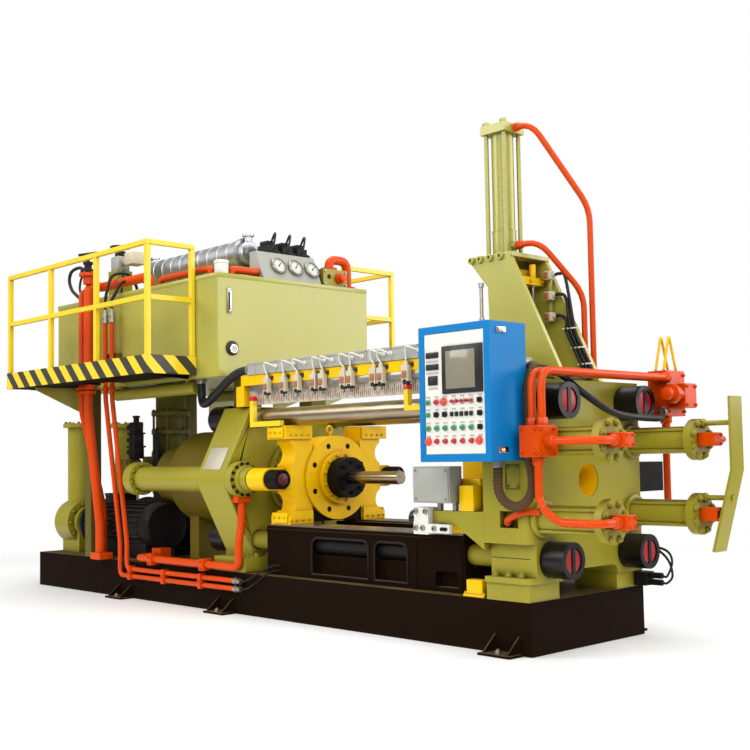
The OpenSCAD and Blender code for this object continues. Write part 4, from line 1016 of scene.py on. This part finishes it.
# Pipe clamps and riser fittings. Split steel saddles hold the thin pressure pipes and the thick feed to
# the base's side. Flanges join the risers, and black hoses lead from them to the tank and the cock.
PIPE_Y = -base_high.y - 36
for x in (-250, -780, -1300):
    slab((x - 20, PIPE_Y - 34, 165), (x + 20, -base_high.y, 285), 6)
    bolt((x, PIPE_Y - 34, 225), NEAR, 12)
for x in (-200, -950):
    slab((x - 30, -672, 310), (x + 30, -560, 405), 8)
    spread(bolt, x, -672, (330, 385), NEAR, 12)
piece("pipe_clamps", orange_enamel)
for z in (195, 255):
    nipple = [(28, -30), (28, 0), (20, 4), (20, 30), (24, 32), (24, 50)]
    turn((212, PIPE_Y, z), FRONT, nipple, 6)
THIN_X, THIN_TOP = (-1563, -1453), 2426
RISER_X, RISER_Y = -1863, -715.5
for x in THIN_X:
    coupling = [(30, -30), (30, 0), (24, 4), (24, 26), (28, 28), (28, 50), (18, 52), (18, 90)]
    turn((x, RISER_Y, THIN_TOP), UP, coupling, 12)
piece("pipe_end_fittings", zinc_plate)
for x, over_x, over_z in zip(THIN_X, (-1560, -1400), (2830, 2750)):
    end = Vector((over_x + 20, -400, TOP))
    run = [(x, RISER_Y, THIN_TOP + 70), (x - 2, RISER_Y, THIN_TOP + 160), (x + 15, -700, over_z - 120)]
    run += [(over_x, -640, over_z), (over_x + 40, -520, over_z + 20), (over_x + 40, -430, TOP + 100)]
    tube(curve(run + [end]), 14, 12)
    turn(end, UP, [(30, 0), (30, 30), (20, 34), (20, 60), (16, 60)], 6)
OUTER_LOOP = [
    (-1950, -690, 2915), (-2060, -690, 2960), (-2200, -695, 2940), (-2235, -700, 2860),
    (-2180, -705, 2770), (-2090, -710, 2710), (-1990, RISER_Y, 2660),
]
INNER_LOOP = [
    (-1950, -660, 2900), (-2030, -660, 2910), (-2075, -670, 2850), (-2060, -690, 2770),
    (-1990, RISER_Y, 2700),
]
tube(curve(OUTER_LOOP), 15, 12)
tube(curve(INNER_LOOP), 11, 12)
piece("pilot_hoses", hose_rubber)
turn((RISER_X, RISER_Y, 2780), UP, [(44, 0), (44, 70), (80, 72), (80, 100), (50, 104)], 28)
circle(bolt, (RISER_X, RISER_Y, 2880), UP, 64, 6, 10)
for x, r in ((RISER_X, 42), (RISER_X - 110, 30)):
    for z in (1790, 1825):
        turn((x, RISER_Y, z), UP, [(r + 2, -4), (r + 26, 0), (r + 26, 24), (r + 2, 28)], 28)
    circle(bolt, (x, RISER_Y, 1849), UP, r + 16, 6, 8)
for x in THIN_X:
    turn((x, RISER_Y, 1800), UP, [(23, -4), (34, 0), (34, 30), (23, 34)], 20)
piece("riser_flanges", orange_enamel)
cock = [(45, 0), (45, 30), (34, 34), (34, 75), (44, 78), (44, 100), (16, 104), (16, 160), (24, 162)]
turn((RISER_X, RISER_Y, 2884), UP, cock + [(24, 180)], 20)
slab((-1955, RISER_Y - 30, 2884), (-1870, RISER_Y + 75, 2930), 8)
lever = [(RISER_X + 77 * k, RISER_Y + 50 * k, 3058 + 6 * k) for k in (-1, 0, 1)]
tube(lever, 12, 10)
piece("riser_cock", black_iron)
for z, up in ((195, 345), (255, 385)):
    run = [(255, PIPE_Y, z), (330, PIPE_Y, z + 10), (440, PIPE_Y + 6, z + 60)]
    tube(curve(run + [(520, -570, up - 20), (560, -530, up), (580, -498, up)]), 6, 8)
piece("grease_lines", black_oxide)

# Switch rail. A yellow beam between the platens carries eleven position switches below a grey cable
# trunk, and a white scale with black marks hangs behind them.
dress("switch_beam", yellow_enamel, 4)
dress("wiring_duct", grey_powder, 3)
dress("limit_switches", beige_plastic, 6)
# Die steel, dark and oily, without paint.
oiled_die_steel = coat(
    "oiled_dark_die_steel", "#0f0b0a", 0.5, 90, 4, 0.15, shade_and_grime=0.3, dust=0.1, ior=1.2
)
dress("die_slide", oiled_die_steel, 4)
switch_low, switch_high = mm(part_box("limit_switches"))
duct_low, duct_high = mm(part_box("wiring_duct"))
scale_low, scale_high = mm(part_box("stroke_scale"))
SWITCHES = [510, 710, 870, 1060, 1150, 1380, 1450, 1690, 1760, 2000, 2170]
SWITCH_Y = -540
for x in SWITCHES:
    turn((x, SWITCH_Y, switch_high.z), UP, [(20, 0), (18, 12), (12, 22), (9, 34)], 14)
piece("switch_glands", beige_plastic)
for x in SWITCHES:
    cover_low = (x - 22, switch_low.y - 5, switch_low.z + 22)
    slab(cover_low, (x + 20, switch_low.y + 1, switch_low.z + 70))
piece("switch_fronts", brown_cover)
for k, x in enumerate(SWITCHES):
    lean = 20 * math.sin(2.3 * k)
    top = Vector((x, SWITCH_Y, switch_high.z))
    plug = Vector((x + 100 + lean, duct_low.y - 3, duct_low.z + 50))
    turn(plug + Vector((0, 4, 0)), NEAR, [(15, 0), (15, 10), (11, 12), (11, 24)], 12)
    loop = [top + Vector(off) for off in ((0, 0, 30), (lean - 12, -12, 70), (10 + lean, -35, 115))]
    loop += [plug + Vector(off) for off in ((-30, -60, 20), (0, -22, 0))]
    tube(curve(loop, 7), 5.5, 8)
piece("switch_leads", white_powder)
for x in SWITCHES:
    slab((x + 24, -528, switch_high.z - 12), (x + 50, -508, switch_high.z + 20), 4)
    turn((x, SWITCH_Y, switch_low.z), DOWN, [(26, -12), (26, 12), (20, 16), (12, 16)], 16)
piece("switch_plungers", black_plastic)
for x in SWITCHES:
    turn((x, SWITCH_Y, switch_low.z - 14), DOWN, [(8, 0), (8, 12), (5, 14)], 12)
    turn((x - 6, SWITCH_Y, switch_low.z - 30), FRONT, [(11, 0), (11, 12)], 16)
slab((260, -519, 1705), (2690, -472, 1749))
piece("switch_rollers_and_rail", zinc_plate)
# Celluloid scale, yellowed and stained by oil.
old_celluloid = coat(
    "yellowed_celluloid", "#cfc0ac", 0.32, 70, 3, 0.03, worn="#b08a78", chips=0.4, shade_and_grime=0.3
)
dress("stroke_scale", old_celluloid, 1)
MARK_STEP = 20
MARKS = range(int((scale_high.x - scale_low.x) / MARK_STEP) - 1)
for name, ink, slot, red in (
    ("scale_marks", black_plastic, "black_steel", False),
    ("red_scale_marks", button_red, "orange_paint", True),
):
    for k in (k for k in MARKS if (k % 4 == 1) == red):
        x = scale_low.x + MARK_STEP * (k + 1)
        tall = 75 if k % 5 == 0 else 30 + 12 * (k % 3)
        low = scale_low.z + 8 + 6 * (k * 7 % 4)
        slab((x - 2, scale_low.y - 1.2, low), (x + 2, scale_low.y + 0.5, low + tall), 0.4)
    piece(name, ink)
for x in (duct_low.x + 100 + 250 * k for k in range(10)):
    slab((x - 6, duct_low.y - 3, duct_low.z + 4), (x + 6, duct_low.y, duct_high.z), 1)
    socket((x + 120, (duct_low.y + duct_high.y) / 2, duct_high.z), UP, 6)
lid_low = (duct_low.x, duct_low.y - 3, duct_high.z - 12)
slab(lid_low, (duct_high.x, duct_high.y + 3, duct_high.z + 3), 1)
piece("duct_lid", grey_powder)


# Crosshead. A steel casting with a round hub, bolt ring, guide shoes and arms for the side plungers. It
# is brushed yellow and rides on the ways; black nuts hold the plungers, and dogs trip the switches.
def sunk(at, axis, size):
    """A cap screw deep in its hole: a dark disc of painted shade for the hole, and the screw's own
    recess.
    """
    turn(at, axis, [(size, -2), (size, 1), (0.62 * size, 1.4), (0.55 * size, 0.6)], 20)


def dog_cap(corners):
    """The cap pushed over the upper end of a trip dog that has those corners."""
    low, high = mm(corners)
    slab((low.x - 3, low.y - 3, high.z - 28), (low.x + 43, high.y + 3, high.z + 12), 8)


CROSS = "crosshead_body"
dress("crosshead", yellow_enamel, 8, 3)
dress("plungers", oiled_steel, 2)
# Steel blackened by heat and burnt oil, rubbed brown at its edges.
sooty_steel = coat(
    "sooty_black_steel", "#0b0807", 0.55, 70, 4, 0.15, worn="#2e2418", chips=0.35, shade_and_grime=0.3, ior=1.22
)
dress("rod_nuts", sooty_steel, 5)
dress("stem_holder", sooty_steel, 6)
# Ground stem steel, brighter than the rods.
stem_steel = ground("bright_stem_steel", "#a3937c", 0.22)
dress("stem", stem_steel, 4)
dress("ram_dog", rail_yellow, 3)
HUB_X, RING_X, SHOE_TOP = 700, 740, 1428
# Painted shade: dark discs for the hub's screw holes, and a dark plate behind the hub for the shade seen
# in the gaps under it.
circle(sunk, (HUB_X, 0, AXIS_Z), FRONT, 260, 8, 21, math.pi / 8)
slab((655, -256, 700), (675, 256, 860), 4)
piece("hub_hole_and_gap_shade", sooty_steel, CROSS)
circle(bolt, (RING_X, 0, AXIS_Z), FRONT, 177, 12, 15, math.pi / 12)
for side in (-1, 1):
    for z0, z1, wide in ((1328, SHOE_TOP, 520), (692, 790, 490)):
        middle = (z0 + z1) / 2
        cheek = [side * y for y in (300, 360, 420, 470)]
        spread(socket, HUB_X, cheek, middle - 20, FRONT, 11)
        y = side * (wide + 6)
        slab((500, y - 6, z0 + 12), (680, y + 6, z1 - 12))
        spread(socket, (530, 590, 650), side * (wide + 12), middle, (0, side, 0), 11)
piece("crosshead_screws", yellow_enamel, CROSS)
hoop((600, 0, 1402), FAR, UP, 28, 8, 24, 10)
turn((600, 0, 1350), UP, [(30, 0), (30, 8), (14, 10), (14, 24)], 20)
piece("crosshead_eyebolt", yellow_enamel, CROSS)
# The plunger ends are a dull dark red, oily.
dull_red = coat("oily_dull_red", "#4d1712", 0.4, 40, 4, 0.1, worn="#241210", chips=0.5)
NUT_X = mm(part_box("rod_nuts"))[1].x
for y in both(SIDE_Y):
    turn((NUT_X, y, AXIS_Z), FRONT, [(46, 0), (46, 6), (40, 10)], 28)
piece("plunger_end_discs", dull_red, CROSS)
for y in both(SIDE_Y):
    circle(socket, (NUT_X, y, AXIS_Z), FRONT, 60, 6, 10)
circle(socket, (850, 0, AXIS_Z), FRONT, 115, 8, 18)
piece("holder_screws", sooty_steel, CROSS)
# Red plastic caps on the trip dogs.
cap_red = coat("red_cap_plastic", "#d2201c", 0.36, 30, 3, 0.04)
dog_cap(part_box("ram_dog"))
piece("ram_dog_cap", cap_red, CROSS)

# Container. A yellow block on shoes around the heated bore, pulled shut on the die by four rods. It has
# its own dog on the operator side.
BLOCK = "container_body"
dress("container", yellow_enamel, 8, 3)
dress("container_rods", oiled_steel, 2)
dress("container_dog", rail_yellow, 3)
REAR_X = mm(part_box("container"))[0].x
circle(bolt, (REAR_X, 0, AXIS_Z), BACK, 200, 12, 20)
turn((REAR_X, 0, AXIS_Z), BACK, [(150, -4), (150, 12), (140, 16), (66, 16), (58, 0)], 40)
uncap()
piece("container_ring", black_oxide, BLOCK)
dog_cap(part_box("container_dog"))
piece("container_dog_cap", cap_red, BLOCK)

# Stage. A pale floor under soft studio light from the front, the side and above. The floor fades out
# into a white backdrop.
studio_floor = bpy.data.materials.new("pale_studio_floor")
studio_floor.use_nodes = True
tree = studio_floor.node_tree
paint = tree.nodes["Principled BSDF"]
paint.inputs["Base Color"].default_value = linear("#f6f6f4")
paint.inputs["Roughness"].default_value = 0.85
place = add(tree, "TexCoord").outputs["Object"]
reach = add(tree, "VectorMath", {0: place}, operation="LENGTH").outputs["Value"]
span = {0: reach, 1: 4.6, 2: 7.5, 3: 0, 4: 1}
fade = add(tree, "MapRange", span, interpolation_type="SMOOTHSTEP").outputs[0]
clear = add(tree, "BsdfTransparent").outputs[0]
edge = add(tree, "MixShader", {0: fade, 1: paint.outputs[0], 2: clear})
tree.links.new(edge.outputs[0], tree.nodes["Material Output"].inputs["Surface"])
bmesh.ops.create_grid(bench, size=45)
mesh = bpy.data.meshes.new("floor")
bench.to_mesh(mesh)
bench.free()
mesh.materials.append(studio_floor)
floor = bpy.data.objects.new("floor", mesh)
floor.location = (0, 0, -0.001)
bpy.context.scene.collection.objects.link(floor)
floor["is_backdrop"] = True
for name, at, power, size in (
    ("key_light", (10.5, -3.5, 7.0), 560, 6.0),
    ("front_light", (5.5, -9.5, 5.0), 350, 5.0),
    ("side_light", (-5.0, -8.0, 7.4), 640, 6.0),
    ("far_light", (8.0, 8.0, 5.0), 620, 7.0),
    ("top_light", (0.5, 0.5, 9.5), 600, 8.0),
):
    lamp = bpy.data.lights.new(name, "AREA")
    lamp.energy = power
    lamp.size = size
    lit = bpy.data.objects.new(name, lamp)
    lit.location = at
    lit.rotation_euler = (Vector((0.3, 0, 1.2)) - Vector(at)).to_track_quat("-Z", "Y").to_euler()
    bpy.context.scene.collection.objects.link(lit)
world = bpy.data.worlds.new("studio")
bpy.context.scene.world = world
world.use_nodes = True
tree = world.node_tree
soft = tree.nodes["Background"]
soft.inputs["Color"].default_value = (0.95, 0.97, 1.0, 1)
soft.inputs["Strength"].default_value = 0.34
paper = add(tree, "Background", {"Color": (1, 1, 1, 1), "Strength": 1.0})
seen = add(tree, "LightPath").outputs["Is Camera Ray"]
backdrop = add(tree, "MixShader", {0: seen, 1: soft.outputs[0], 2: paper.outputs[0]})
tree.links.new(backdrop.outputs[0], tree.nodes["World Output"].inputs["Surface"])
bpy.context.scene.view_settings.view_transform = "Standard"

low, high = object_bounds()
